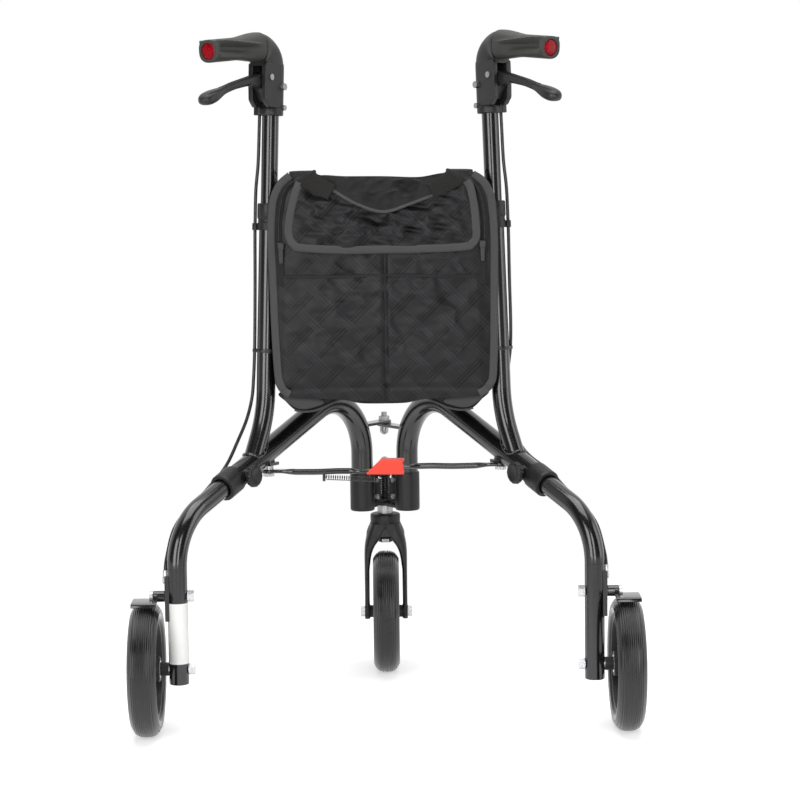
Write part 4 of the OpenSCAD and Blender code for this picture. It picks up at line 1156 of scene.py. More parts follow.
@dataclass
class Caster:
    """The front fork and the column's spring."""

    plan: Layout = PLAN
    shoulder_z: float = 192.0
    eye_r: float = 11.0
    eye_x: float = 22.6
    spring_from: float = 240.8
    spring_len: float = 32.4
    spring_r: float = 7.3
    wire: float = 2.0
    curls: int = 10

    def build_fork(self) -> None:
        """Crown and two arms, each a stack of superellipses, with eyes around the axle."""
        axis = np.array([0, self.plan.axis_y, 0])
        down = Axes(axis, np.array([0, 0, -1.0]), WORLD.ex, WORLD.ey)
        z = np.array([218.0, 217.2, 216, 210, 207, 203, 198, 192, 187, 184, 183])
        half_x = np.array([18.5, 20.2, 21, 21, 20.8, 22, 24.4, 26.6, 27, 23, 16])
        half_y = np.array([17.5, 19.2, 20, 20, 19.6, 19.8, 20.2, 20.6, 20.4, 18, 14])
        power = np.array([2, 2, 2, 2, 2.1, 2.3, 2.6, 2.9, 3, 3, 3.0])
        stock = Stock().loft(down, -z, half_x, half_y, power, off_b=-ease(-z, -206, -186) * 2, count=56)
        z = np.array([205, 199, 193, 187, 181, 175, 169, 163, 155, 140, 120, 100, 85, 81, 78, 75.5, 74.3])
        mid = np.array([7, 8.5, 11, 15, 18.6, 21.6, 23.6, 24.8, 25.6, 26.5, 26.5, 26.5, 26.5, 26.5, 26.5, 26.5, 26.5])
        half = np.array([13.5, 14, 14, 11.8, 9.6, 7.6, 6.2, 5.2, 4.4, 3.4, 3.4, 3.4, 3.5, 3.5, 3.4, 2.8, 1.6])
        low = self.plan.wheel_r
        drop = np.clip((self.shoulder_z - z) / (self.shoulder_z - low), 0, 1)
        back = -2 - (self.plan.trail - 2) * drop
        deep = np.where(z >= low, 20.5 - 9.5 * drop, np.sqrt(np.maximum(self.eye_r ** 2 - (low - z) ** 2, 9)))
        for s in (-1, 1):
            stock.loft(down, -z, half, deep, 3.4, off_a=s * mid, off_b=back, count=48)
            eye = Axes(axis + [s * self.eye_x, -self.plan.trail, low], WORLD.ey, WORLD.ez, np.array([s, 0, 0.0]))
            stock.revolve(eye, [(5, 0), (9.4, 0), (10.6, 0.6), (11, 2), (11, 6.6), (10.4, 7.4), (5, 7.4)], 40)
        stock.piece("fork_moulding", "fork", MOULDED, ["fork"])

    def build_spring(self) -> None:
        """Wire carried along a helix around the shaft, its ends laid flat."""
        t = np.linspace(0, 1, self.curls * 28)
        a = 2 * np.pi * self.curls * t
        flat = np.clip((t * self.curls - 0.7) / (self.curls - 1.4), 0, 1)
        rise = self.wire / 2 + (self.spring_len - self.wire) * (0.15 * t + 0.85 * flat)
        line = np.column_stack([self.spring_r * np.cos(a), self.plan.axis_y + self.spring_r * np.sin(a),
                                self.spring_from + rise])
        Stock().sweep(line, circle(10) * self.wire / 2, WORLD.ez).piece(
            "column_coil", "column", SPRING, ["column_spring"])

    def build(self) -> None:
        """Builds the fork and the spring."""
        self.build_fork()
        self.build_spring()


@dataclass
class Handle(Sided):
    """One handle: sliding tube, brake housing, grip, reflector and lever."""

    tube_from: float = 60.0
    tube_to: float = 423.0
    foot: float = 361.0
    elbow_z: float = 58.0
    elbow: tuple[float, float] = (45.0, 41.5)
    half_t: float = 14.5
    front: float = 30.5
    grip_mid: float = 82.0
    grip_tilt: float = 7.6
    grip_len: float = 104.0
    lens_r: float = 10.0
    pin: tuple[float, float] = (19.0, 44.0)
    lever_tilt: float = 14.8
    lever_len: float = 132.0

    @property
    def body(self) -> str:
        """The body that carries the handle."""
        return self.named("handle")

    @property
    def axes(self) -> Axes:
        """Axes at the foot of the housing."""
        return self.plan.upright_axes(self.side, self.foot)

    def tilted(self, x: float, z: float, droop: float) -> Axes:
        """Axes at a point of the housing, with x drooping towards the rear by an angle in degrees."""
        c, s = cos_sin(droop)
        return self.axes.inner((x, 0, z), (c, 0, -s), (s, 0, c))

    def build_tube(self) -> None:
        """Straight tube turned around the upright's axis."""
        r, n = self.plan.handle_d / 2, self.tube_to - self.tube_from
        Stock().revolve(self.plan.upright_axes(self.side, self.tube_from),
                        [(r, n * k / 6) for k in range(7)], 44).piece(
            self.named("handle_tube_skin"), self.body, ENAMEL, [self.named("handle_tube")])

    def build_housing(self) -> None:
        """Elbow of superellipses fanned around its inner corner, a back, two cheeks, a clamp ring and its ear."""
        axes = self.axes
        corner = np.array([self.front, self.elbow_z])
        fan = arc(26, 90, 180)
        way = ray(fan)
        reach = 1 / np.sqrt((way[:, 0] / self.elbow[0]) ** 2 + (way[:, 1] / self.elbow[1]) ** 2)
        half_y = 16.2 - 1.7 * ease(np.degrees(fan), 92, 130)
        ring = oval(reach / 2, half_y, 2.5 + 0.9 * ease(np.degrees(fan), 110, 175), 56)
        mid = corner + way * (reach / 2)[:, None]
        x = mid[:, :1] + ring[..., 0] * way[:, :1]
        z = mid[:, 1:] + ring[..., 0] * way[:, 1:]
        stock = Stock().skin(axes.place(np.stack([x, ring[..., 1], z], -1)))
        up = axes.inner((-2, 0, 0), (0, 0, 1), (-1, 0, 0))
        along = np.array([5.0, 5.6, 7, 13, 40, 56, 62])
        stock.loft(up, along, [13.6, 14.2, 14.5, 14.5, 14.5, 14.5, 14.2], [11.6, 12.2, 12.5, 12.5, 12.5, 12.5, 12.2],
                   3.0, count=48)
        cheek = fillet([(-4, 5), (21, 5), (self.front - 1, 14), (self.front, 32), (self.front, 62), (-4, 62)],
                       [1, 5, 6, 8, 3, 1])
        for low, high in ((7.4, self.half_t), (-self.half_t, -7.4)):
            stock.slab(axes.swapped(), cheek, low, high, 1.1)
        stock.revolve(axes.inner((0, 0, -4.5)),
                      [(11.2, 0), (15.6, 0), (16.4, 0.8), (16.6, 3), (16.6, 8), (16, 9.6), (12.5, 10.5)], 48)
        ear = fillet([(8, -19), (17, -15), (17, -5), (8, -5)], 3.0)
        stock.slab(axes, ear, -4.5, 6, 0.8)
        stock.piece(self.named("brake_housing"), self.body, NYLON, [self.named("handle_housing")])

    def grip_ring(self, x: Array, count: int) -> tuple[Array, Array]:
        """Sections of the grip: superellipses with a winged palm rest over a finger recess.

        The radius at an angle is a superellipse's, plus a narrow ridge where the wing's edge runs
        and less a broad hollow under it, both fading out at the ends.

        Args:
            x: distances from the root.
            count: points around.

        Returns:
            The sections' y and z.
        """
        share = np.clip(x / self.grip_len, 0, 1)[:, None]
        a = 18.2 - 3.0 * ease(share, 0.0, 0.75)
        b = 18.8 - 4.4 * ease(share, 0.02, 0.5)
        t = np.linspace(0, 2 * np.pi, count, endpoint=False)[None]
        c, s = np.cos(t), np.sin(t)
        n = 2.5 + 0.5 * (s > 0)
        base = (np.abs(c / a) ** n + np.abs(s / b) ** n) ** (-1 / n)
        turn = np.degrees(np.arctan2(s, np.abs(c)))
        edge = 10 + 34 * ease(share, 0.02, 0.98)
        fade = ease(share, 0.05, 0.3)
        ridge = (3.2 - 0.6 * share) * np.exp(-((turn - edge) / 5.0) ** 2) * fade
        hollow = 7.6 * ease(turn, edge - 75, edge - 36) * (1 - ease(turn, edge - 13, edge - 3))
        hollow = hollow * ease(share, 0.12, 0.4) * (1 - ease(share, 0.84, 0.97))
        r = base + ridge - hollow
        return r * c, r * s

    def build_grip(self) -> None:
        """Grip from its sections, with a rounded end that is sunk around the reflector."""
        axes = self.tilted(self.front, self.grip_mid, self.grip_tilt)
        n, count = self.grip_len, 96
        x = np.concatenate([[2.6, 2.9, 3.6], np.linspace(5, n - 2.4, 60)])
        y, z = self.grip_ring(x, count)
        root = np.array([0.9, 0.965, 1.0])
        y[:3], z[:3] = y[:3] * root[:, None], z[:3] * root[:, None]
        a = arc(6, 0, 90)[1:]
        ring = circle(count) * (self.lens_r + 0.7)
        ends = [(n - 2.4 + 2.4 * math.sin(k), 1 - 0.16 * (1 - math.cos(k))) for k in a]
        tip_y, tip_z = ([edge[-1] * share for _, share in ends] + [rim, rim * 0.98, rim * 0.98]
                        for edge, rim in ((y, ring[:, 0]), (z, ring[:, 1])))
        tip_x = [along for along, _ in ends] + [n, n - 0.6, n - 3.0]
        xs = np.concatenate([x, tip_x])
        ys, zs = np.concatenate([y, tip_y]), np.concatenate([z, tip_z])
        grid = np.stack([np.broadcast_to(xs[:, None], ys.shape), ys, zs], -1)
        stock = Stock().skin(axes.place(grid), rows=xs, cols=np.linspace(0, 110, count + 1))
        stock.loft(axes, [-3.0, 4.0], [14.4, 14.4], [14.2, 14.2], 2.3)
        stock.piece(self.named("hand_grip"), self.body, SOFT_GRIP, [self.named("grip")])
        face = axes.inner((n - 3, 0, 0), (0, 1, 0), (1, 0, 0))
        r = self.lens_r
        dome = [(r * math.cos(k), 1.6 + 1.3 * math.sin(k)) for k in arc(10, 0, 88)]
        Stock().revolve(face, [(r, 0.1)] + dome, 48).piece(
            self.named("round_reflector"), self.body, LENS, [self.named("reflector")])

    def build_lever(self) -> None:
        """Lever of superellipses that narrow to a neck and widen to a paddle, with a webbed root and a ridge."""
        axes = self.tilted(self.pin[0], self.pin[1], self.lever_tilt)
        x = np.linspace(-4, self.lever_len, 70)
        u = np.clip(x / self.lever_len, 0, 1)
        tip = np.sqrt(np.maximum(1 - (np.maximum(x - self.lever_len + 15, 0) / 15.2) ** 2, 0.02))
        wide = (6.6 - 0.4 * ease(u, 0.1, 0.4) + 5.2 * ease(u, 0.62, 0.86)) * tip
        high = (6.2 - 1.2 * ease(u, 0.1, 0.5) + 3.0 * ease(u, 0.62, 0.86)) * tip
        drop = 1.2 * np.sin(np.pi * u) - 5.0 * ease(u, 0.45, 1.0)
        stock = Stock().loft(axes, x, wide, high, 2.6, off_b=drop, count=44)
        ridge = np.column_stack([x[8:50], np.zeros(42), (high + drop)[8:50] - 0.4])
        stock.sweep(axes.place(ridge), circle(10) * [1.2, 0.9], axes.ey)
        upright = axes.swapped()
        root = fillet([(-6, -30), (6, -32), (13, -12), (34, -3.5), (30, 3), (8, 6.5), (-6, 6.5)],
                      [2, 3, 10, 2, 2, 4, 5])
        stock.slab(upright, root, -6.6, 6.6, 1.0)
        web = fillet([(-2, -22), (5, -23), (11, -9), (20, -5), (6, 2), (-2, 2)], 1.5)
        stock.slab(upright, web, -7.0, 7.0, 0.4)
        stock.piece(self.named("brake_lever_moulding"), self.named("lever"), NYLON,
                    [self.named("brake_lever")])

    def build(self) -> None:
        """Builds every piece of the handle."""
        self.build_tube()
        self.build_housing()
        self.build_grip()
        self.build_lever()


@dataclass
class Brake(Sided):
    """One brake: the cable from the handle to the leg, its ties, and the shoe over the tyre."""

    cable_d: float = 4.4
    route: tuple[tuple[float, float, float], ...] = (
        (262.5, -12, 780), (264, -12, 760), (267, -12.5, 715), (270.5, -14.4, 680), (273, -14.6, 640),
        (274, -14.6, 620), (277, -13.5, 560), (280, -12.8, 505), (282, -12.6, 471), (284.5, -12.8, 440),
        (289, -13, 410), (301, -13.5, 382), (318, -16, 355), (333, -19.5, 331), (350, -21.5, 315),
        (368, -21.5, 305), (386, -19, 297), (412, -17, 286), (434, -17, 274), (454, -16.7, 256),
        (467, -16.5, 227), (473, -14.4, 214), (474.8, -13.6, 204.6))
    behind: tuple[tuple[float, float, float], ...] = (
        (276, -15, 471), (270, -15.5, 440), (270.5, -15.5, 410), (276, -15.6, 384), (285.5, -16, 360),
        (293, -17, 345), (312, -19.5, 330))
    slack_to: tuple[float, float, float] = (271.8, -14.5, 660.0)
    tie_at: float = 51.0
    tie_r: float = 13.1
    tie_bulge: float = 4.9
    tie_spread: float = 0.34
    pivot_z: float = 178.0
    shoe_x: tuple[float, float] = (24.5, 56.5)

    @property
    def path(self) -> list[tuple[float, float, float]]:
        """The cable's points; the right cable runs in front of its upright, where the camera doesn't see it."""
        if self.side is Side.LEFT:
            return list(self.route)
        return sorted([p for p in self.route if not 316 < p[2] < 480] + list(self.behind), key=lambda p: -p[2])

    def build_cable(self) -> None:
        """Round section carried along a smooth line through the route, from the handle to the leg."""
        plane = self.plan.side(self.side)
        line = plane.place(spline(self.path, 6))
        cable = Stock().sweep(line, circle(16) * self.cable_d / 2, plane.ey).piece(
            self.named("brake_cable_sheath"), None, SHEATH, [self.named("brake_cable")])
        tuple(plane.place(self.slack_to) * MM)
        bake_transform(cable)

    def build_ties(self) -> None:
        """Narrow band around the upright that bulges over the cable, and the cable's end clip on the leg."""
        axes = self.plan.upright_axes(self.side, self.tie_at)
        a = np.linspace(0, 2 * np.pi, 90, endpoint=False)
        towards = math.radians(-58 if self.side is Side.LEFT else -78)
        gap = np.angle(np.exp(1j * (a - towards)))
        r = self.tie_r + self.tie_bulge * np.exp(-(gap / self.tie_spread) ** 2)
        line = axes.place(np.column_stack([r * np.cos(a), r * np.sin(a), np.zeros(90)]))
        band = fillet([(-0.5, -2.2), (0.5, -2.2), (0.5, 2.2), (-0.5, 2.2)], 0.3, 3)
        stock = Stock().sweep(line, band, axes.ez, loop=True)
        way = np.array([math.cos(0.9), math.sin(0.9), 0])
        head = axes.inner(13.4 * way, way, (0, 0, 1))
        stock.slab(head, fillet([(-0.4, -2.6), (3.2, -2.6), (3.2, 2.6), (-0.4, 2.6)], 0.7), -2.8, 2.8, 0.5)
        stock.piece(self.named("cable_tie"), self.named("frame"), SHEATH)
        end = self.plan.side(self.side).place(self.route[-1])
        clip = WORLD.inner(end - [0, 0, 10.4])
        profile = [(1.2, -8), (1.2, 0), (3.2, 0), (3.6, 0.6), (3.6, 8), (3.0, 9), (3.0, 16), (2.3, 17)]
        Stock().revolve(clip, profile, 28).piece(self.named("cable_ferrule"), self.named("frame"), ZINC)

    def build_shoe(self) -> None:
        """Shoe plate over the tyre with a turned-down lip, the web that carries it and the boss on the bolt."""
        leg = self.plan.leg_axes(self.side, self.pivot_z)
        across = Axes(leg.origin, leg.ey, leg.ez, leg.ex)
        drop = np.array([0, self.pivot_z - self.plan.wheel_r])
        plate = [(-6, 87.2), (24.8, 86.8), (27.4, 83.5), (29.8, 83.7), (27.6, 88.9), (-6, 89.6)]
        stock = Stock().slab(across, fillet(np.array(plate) - drop, [0.8, 2.0, 0.6, 0.6, 3.0, 0.8]), *self.shoe_x, 0.7)
        web = [(-7, 88.4), (12, 88.4), (6, 97.0), (-6, 97.0)]
        stock.slab(across, fillet(np.array(web) - drop, [1.0, 1.0, 4.0, 4.0]), self.shoe_x[0], 30.5, 1.0)
        stock.revolve(across, [(3.2, 15.9), (6.4, 15.9), (7, 16.5), (7, 29.8), (6.4, 30.4), (3.2, 30.4)], 36)
        stock.piece(self.named("brake_shoe"), self.named("brake"), ENAMEL, [self.named("brake_arm")])

    def build(self) -> None:
        """Builds every piece of the brake."""
        self.build_cable()
        self.build_ties()
        self.build_shoe()


@dataclass
class Crossbar:
    """The folding crossbar: two flattened rods, the latch over their joint and the latch's spring."""

    plan: Layout = PLAN
    bow: float = 5.0
    length: float = 153.243
    tops: tuple[float, float] = (314.2, 319.6)
    eye_t: float = 4.6
    eye_r: float = 9.0
    post_back: float = 80.0
    latch_z: float = 311.0
    latch_left: float = 0.45
    latch_len: float = 53.0
    latch_h: float = 19.0
    wall_y: float = 22.5
    wall_t: float = 3.4
    spring_z: float = 303.5
    spring_r: float = 3.0
    spring_wire: float = 1.0
    spring_curls: int = 22

    def axes(self, side: Side) -> Axes:
        """Axes along a link, from its bolt to the middle.

        Args:
            side: which link.

        Returns:
            The axes.
        """
        k, (c, s) = side.value, cos_sin(self.bow)
        start = self.plan.side(side).place((self.plan.link_reach, 0, 0))
        return Axes(start, np.array([-k * c, -s, 0]), np.array([-k * s, c, 0]), WORLD.ez)

    def build_link(self, side: Side) -> None:
        """Rod of superellipses, flat at both ends and round between, that dips after the bolt, with two eyes.

        Args:
            side: which link.
        """
        axes, top = self.axes(side), self.tops[0 if side is Side.LEFT else 1]
        low, mid, n = top - self.eye_t, top - self.eye_t / 2, self.length
        x = np.linspace(0, n, 90)
        near, far = 1 - ease(x, 16, 34), ease(x, n - 46, n - 32)
        flat = near + far
        wide, high = 4.0 + 3.0 * flat, 4.0 - 1.7 * flat
        dip = -1.2 * ease(x, 14, 40) * (1 - ease(x, 58, 96))
        stock = Stock().loft(axes, x, wide, high, 2.0 + 2.6 * flat, off_b=mid + dip, count=36)
        for at in (0.0, n):
            eye = np.array([at, 0.0]) + circle(40) * self.eye_r
            stock.slab(axes, eye, low, top, 0.6)
        cap = axes.inner((n, 0, 0))
        if side is Side.LEFT:
            stock.revolve(cap, [(6, low + 0.2), (6, low - 0.8), (5, low - 1.6)], 32)
            pin = axes.inner((n - 16, -self.wall_y - 1, mid), (1, 0, 0), (0, 1, 0))
            stock.revolve(pin, [(2, 0), (2, self.wall_y + 1)], 24)
            post = axes.inner((n - self.post_back, 0, 0))
            stock.revolve(post, [(1.4, 298.4), (2, 299.2), (2, mid)], 24)
        else:
            stock.revolve(cap, [(6, top - 0.2), (6, top + 0.8), (5, top + 1.6)], 32)
        stock.piece("crossbar_rod_" + side.tag, "link_" + side.tag, ENAMEL, ["link_" + side.tag])

    def build_latch(self) -> None:
        """Moulded latch: a back wall with one slanting end, and a flat roof over the joint."""
        at = self.axes(Side.LEFT).inner((self.length, -self.wall_y, self.latch_z))
        back = Axes(at.origin, at.ex, at.ez, -at.ey)
        n, h = self.latch_len, self.latch_h
        left = -self.latch_left * n
        outline = fillet([(left + 0.2, 0), (left + 0.975 * n, 0), (left + 0.935 * n, 0.9 * h), (left + 0.88 * n, h),
                          (left + 0.38 * n, h)], [1.2, 2.0, 3.0, 4.0, 6.0])
        stock = Stock().slab(back, outline, -0.4, self.wall_t, 0.8, 0.9)
        roof = fillet([(left + 0.34 * n, h - 3), (left + 0.95 * n, h - 3), (left + 0.94 * n, h), (left + 0.38 * n, h)],
                      [0.3, 0.3, 1.4, 1.4])
        stock.slab(back, roof, -self.wall_y + 4, 0.4, 1.0)
        stock.piece("latch_moulding", "latch", LATCH_RED, ["latch"])

    def build_spring(self) -> None:
        """Wire carried along a close helix from the post under the left rod to a place behind the latch."""
        axes = self.axes(Side.LEFT)
        start = axes.place((self.length - self.post_back, 0, self.spring_z))
        end = axes.place((self.length - self.latch_left * self.latch_len + 14, 4.4 - self.wall_y, self.spring_z))
        run = end - start
        size = float(np.linalg.norm(run))
        ex = run / size
        way = Axes(start, ex, np.cross(WORLD.ez, ex), WORLD.ez)
        t = np.linspace(0, 1, self.spring_curls * 22)
        a = 2 * np.pi * self.spring_curls * t
        coil = np.column_stack([2.9 + (size - 3.6) * t, self.spring_r * np.cos(a), self.spring_r * np.sin(a)])
        bend = 2.6 * ray(arc(14, 200, 0))
        hook = np.column_stack([2.4 - bend[:, 1], bend[:, 0], np.zeros(14)])
        line = np.concatenate([hook, coil])
        Stock().sweep(way.place(line), circle(8) * self.spring_wire / 2, np.array([0.31, 0.2, 1.0])).piece(
            "latch_coil", "link_left", SPRING, ["latch_spring"])

    def build(self) -> None:
        """Builds both links, the latch and its spring."""
        self.build_link(Side.LEFT)
        self.build_link(Side.RIGHT)
        self.build_latch()
        self.build_spring()


@dataclass
class Bag:
    """The soft bag between the uprights: body, padded back panel, flap, zips, bindings, handle and gussets."""

    back_y: float = -26.2
    rim_y: float = -32.0
    crown: float = 9.0
    body_half: float = 126.0
    body_low: float = 406.0
    body_high: float = 690.0
    deep: float = 110.0
    keep: float = 0.55
    face_half: float = 150.0
    face_mid: float = 553.0
    face_high: float = 152.0
    fold_deep: float = 2.4
    pocket_deep: float = 1.8
    pocket_z: tuple[float, float] = (566.5, 570.0)
    seam_deep: float = 3.2
    seam_x: float = 3.2
    foot_deep: float = 1.8
    foot_z: float = 424.0
    edge: tuple[tuple[float, float], ...] = (
        (0, 404.8), (64, 407.6), (108, 409), (130, 412), (142, 421), (147.5, 438), (149.2, 495), (150, 610), (149, 650),
        (146, 669), (141, 685), (132, 695), (120, 701), (104, 703), (84, 701), (52, 693), (4, 694), (-54, 695.5),
        (-80, 699.5), (-98, 704), (-112, 703.5), (-124, 697.5), (-134, 687), (-141.5, 673), (-145.5, 656),
        (-147.5, 612), (-144.5, 498), (-141.8, 440), (-139, 425), (-131, 415), (-116, 410.4), (-65, 408.4))
    flap_edge: tuple[tuple[float, float], ...] = (
        (-106, 697), (-113, 682), (-121, 656), (-125, 632), (-123.6, 616), (-117, 606), (-106, 601.4), (-51, 598.2),
        (5, 598.4), (58, 598.6), (110, 600.6), (121, 605), (126.4, 614.5), (126.2, 632), (124, 656), (120, 681),
        (113, 696), (60, 692), (0, 692.5), (-54, 693.5))
    wrap_edge: tuple[tuple[float, float], ...] = (
        (-80, 698), (-62, 679), (-32, 662), (2.3, 651.5), (36, 661), (69, 672.5), (84, 699), (48, 695.5), (4, 697),
        (-44, 697.5))

    def face(self, x: Array, z: Array) -> Array:
        """Rear surface of the bag: a crowned pad with slack folds, a raised pocket and sunken seams.

        The crown is a product of one minus fourth powers of both distances from the middle. The folds
        are smooth noise under the same swell, and each seam is a narrow bell cut into the sum.

        Args:
            x: distances to the right of the middle.
            z: heights.

        Returns:
            The y of the surface.
        """
        u = np.clip(np.abs(x) / self.face_half, 0, 1)
        v = np.clip(np.abs(z - self.face_mid) / self.face_high, 0, 1)
        swell = (1 - u ** 4) * (1 - v ** 4)
        folds = self.fold_deep * waver(3, x, z, size=120.0) * swell
        pocket = self.pocket_deep * (1 - ease(z, *self.pocket_z)) * (1 - ease(np.abs(x), 124, 136))
        middle = self.seam_deep * np.exp(-((x - self.seam_x) / 3.4) ** 2) * (1 - ease(z, 592, 604))
        foot = self.foot_deep * np.exp(-((z - self.foot_z + 4 * (x / self.face_half) ** 2) / 2.8) ** 2)
        return self.rim_y - self.crown * swell - folds - pocket + middle + foot

    def ring(self, points: Points, count: int) -> Array:
        """Smooth closed outline through points, evenly spaced.

        Args:
            points: points of x and z.
            count: points of the outline.

        Returns:
            The outline.
        """
        line = spline(list(points[-2:]) + list(points) + list(points[:3]), 12)[24:-24]
        along = length_along(line)
        at = np.linspace(0, along[-1], count, endpoint=False)
        return np.stack([np.interp(at, along, line[:, k]) for k in range(2)], -1)

    def cloth(self, outline: Array, lift: float, thick: float, uneven: float, size: float, seed: int,
              rings: int = 40) -> Stock:
        """Cloth that lies over the rear surface: rings of its outline shrink to the middle on both faces.

        Args:
            outline: points of x and z.
            lift: how far its front face lies behind the surface.
            thick: its thickness.
            uneven: depth of its folds.
            size: length of its folds.
            seed: which folds.
            rings: rings on each face.

        Returns:
            The stock that holds the cloth.
        """
        mid = outline.mean(axis=0)
        share = np.linspace(0.015, 1, rings) ** 0.85
        grid = mid + share[:, None, None] * (outline - mid)
        x, z = grid[..., 0], grid[..., 1]
        crease = 1 - 2.4 * np.abs(waver(seed, x, z * 1.6, size=size))
        inner = self.face(x, z) - lift - uneven * crease * (1 - share[:, None] ** 4)
        both = np.concatenate([np.stack([x, inner, z], -1), np.stack([x, inner - thick, z], -1)[::-1]])
        return Stock().skin(both, flat=np.concatenate([grid, grid[::-1]]))

    def over(self, points: Points, lift: float, steps: int = 10) -> Array:
        """Smooth line through points of x and z, at a height over the rear surface."""
        line = spline(points, steps)
        return np.column_stack([line[:, 0], self.face(line[:, 0], line[:, 1]) - lift, line[:, 1]])

    def tape(self, line: Array, half: float, thick: float) -> Stock:
        """Folded tape carried along a line of the row frame: a flat oval of half its width and half its thickness."""
        section = oval(np.array([half]), np.array([thick]), np.array([2.8]), 18)[0]
        return Stock().sweep(line, section, WORLD.ey)

    def sew(self, name: str, stock: Stock, finish: Finish, replaces: Sequence[str] = ()) -> bpy.types.Object:
        """Makes a piece of the bag out of its skins, on a mesh of its own.

        Args:
            name: the piece's name.
            stock: its skins.
            finish: its finish.
            replaces: CAD nodes that it stands for.

        Returns:
            The object.
        """
        piece = stock.piece(name, "bag", finish, replaces)
        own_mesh(piece)
        return piece

    def build_body(self) -> None:
        """Lofted sack: rounded rings from a sagging floor to the mouth, flat at the rear and slack elsewhere."""
        n, m = 46, 128
        t = np.linspace(0, 1, n)[:, None]
        a = np.linspace(0, 2 * np.pi, m, endpoint=False)[None]
        c, s = np.cos(a), np.sin(a)
        ahead = np.sign(s) * np.abs(s) ** 0.5
        foot = np.sqrt(np.clip(1 - (1 - np.clip(t / 0.1, 0, 1)) ** 2, 0.0, 1))
        belly = np.sin(np.pi * np.clip(t, 0, 1)) ** 0.8
        half_x = self.body_half * (0.30 + 0.70 * foot) * (1 - 0.03 * (1 - belly))
        half_y = self.deep / 2 * (0.55 + 0.45 * foot) * (0.93 + 0.07 * belly)
        x = half_x * np.sign(c) * np.abs(c) ** 0.45
        y = self.back_y + half_y * (1 + ahead)
        z = self.body_low + (self.body_high - self.body_low) * t + 0 * a
        z = z - 5.0 * (1 - (x / self.body_half) ** 2) * (1 - ease(t, 0, 0.25))
        slack = (waver(21, x, y, z, size=150.0) + 0.5 * waver(22, x, y, z, size=62.0)) * (belly ** 0.5)
        y = y + 4.2 * slack * np.clip(ahead, 0, 1)
        x = x + 2.6 * slack * np.sign(c) * np.abs(c) ** 0.5
        girth = length_along(np.stack([x, y], -1)[n // 2])
        stock = Stock().skin(np.stack([x, y, z], -1), flat=np.stack([girth[None] + 0 * z, z], -1))
        body = self.sew("bag_body", stock, CLOTH, ["bag"])

    def build_panel(self) -> None:
        """Padded back panel in lattice cloth, with grey tapes down its sides and a hem across its pocket."""
        outline = self.ring(self.edge, 360)
        panel = self.sew("bag_back_panel", self.cloth(outline, -6.0, 6.0, 1.3, 84.0, 3, rings=64), CLOTH)
        left = ((-117, 699), (-128, 690), (-135.5, 678), (-140.5, 660), (-142.8, 620), (-141.2, 560), (-139.6, 498),
                (-137, 445), (-134.6, 430), (-129, 420), (-122, 415.5))
        right = ((118, 698), (129, 691), (137, 680), (142, 664), (145.2, 620), (145, 560), (144.4, 495), (142.6, 440),
                 (139, 427), (132, 418), (124, 414))
        for name, line in (("left", left), ("right", right)):
            self.sew("bag_side_binding_" + name, self.tape(self.over(line, 1.0), 5.2, 2.6), BINDING)
        hem = self.tape(self.over(((-130, 569), (-60, 568), (5, 569), (70, 567.5), (132, 566)), 0.2), 2.2, 1.2)
        self.sew("bag_pocket_hem", hem, LINING)

    def build_zips(self) -> None:
        """Zip tapes with a ribbed coil, a puller and a tail on each side of the flap."""
        for name, k, pull in (("left", -1.0, -130.5), ("right", 1.0, 130.0)):
            line = mirrored(k, ((113, 691), (122, 683), (128.5, 668), (132.6, 640), (132.4, 612), (131, 585),
                                (130, 556)))
            self.sew("bag_zip_tape_" + name, self.tape(self.over(line, 0.6), 4.6, 1.2), WEBBING)
            coil = self.over(line[:-1], 1.6, 40)
            beat = 1.5 + 0.45 * np.sin(length_along(coil) * 2 * np.pi / 2.4)
            teeth = Stock().sweep(coil, circle(10)[None] * beat[:, None, None], WORLD.ey)
            self.sew("bag_zip_coil_" + name, teeth, SHEATH)
            y = float(self.face(np.array([pull]), np.array([600.0]))[0])
            hang = WORLD.inner((pull, y - 2.4, 0), (1, 0, 0), (0, -1, 0))
            stock = Stock().slab(hang, fillet([(-4, 604), (4, 604), (4.4, 613), (-4.4, 613)], 1.4), 0, 3.4, 0.8)
            stock.slab(hang, fillet([(-2.6, 586), (2.6, 586), (3.2, 605), (-3.2, 605)], 1.6), 1.4, 3.2, 0.7)
            self.sew("bag_zip_puller_" + name, stock, NYLON)

    def build_flap(self) -> None:
        """Crumpled flap over the mouth of the pocket, with a grey tape down its sides and along its foot."""
        outline = self.ring(self.flap_edge, 240)
        flap = self.sew("bag_flap", self.cloth(outline, 3.4, 1.6, 3.2, 74.0, 8, rings=64), CLOTH)
        line = ((-105, 690), (-110, 678), (-116.4, 656), (-120.2, 632), (-119, 619), (-113.6, 610.6), (-104, 606.2),
                (-51, 603), (5, 603.2), (58, 603.4), (107, 605.4), (116.4, 609.6), (121.4, 618), (121.4, 632),
                (119.2, 656), (115.6, 678), (110, 690))
        self.sew("bag_flap_binding", self.tape(self.over(line, 5.0), 5.2, 1.8), BINDING)

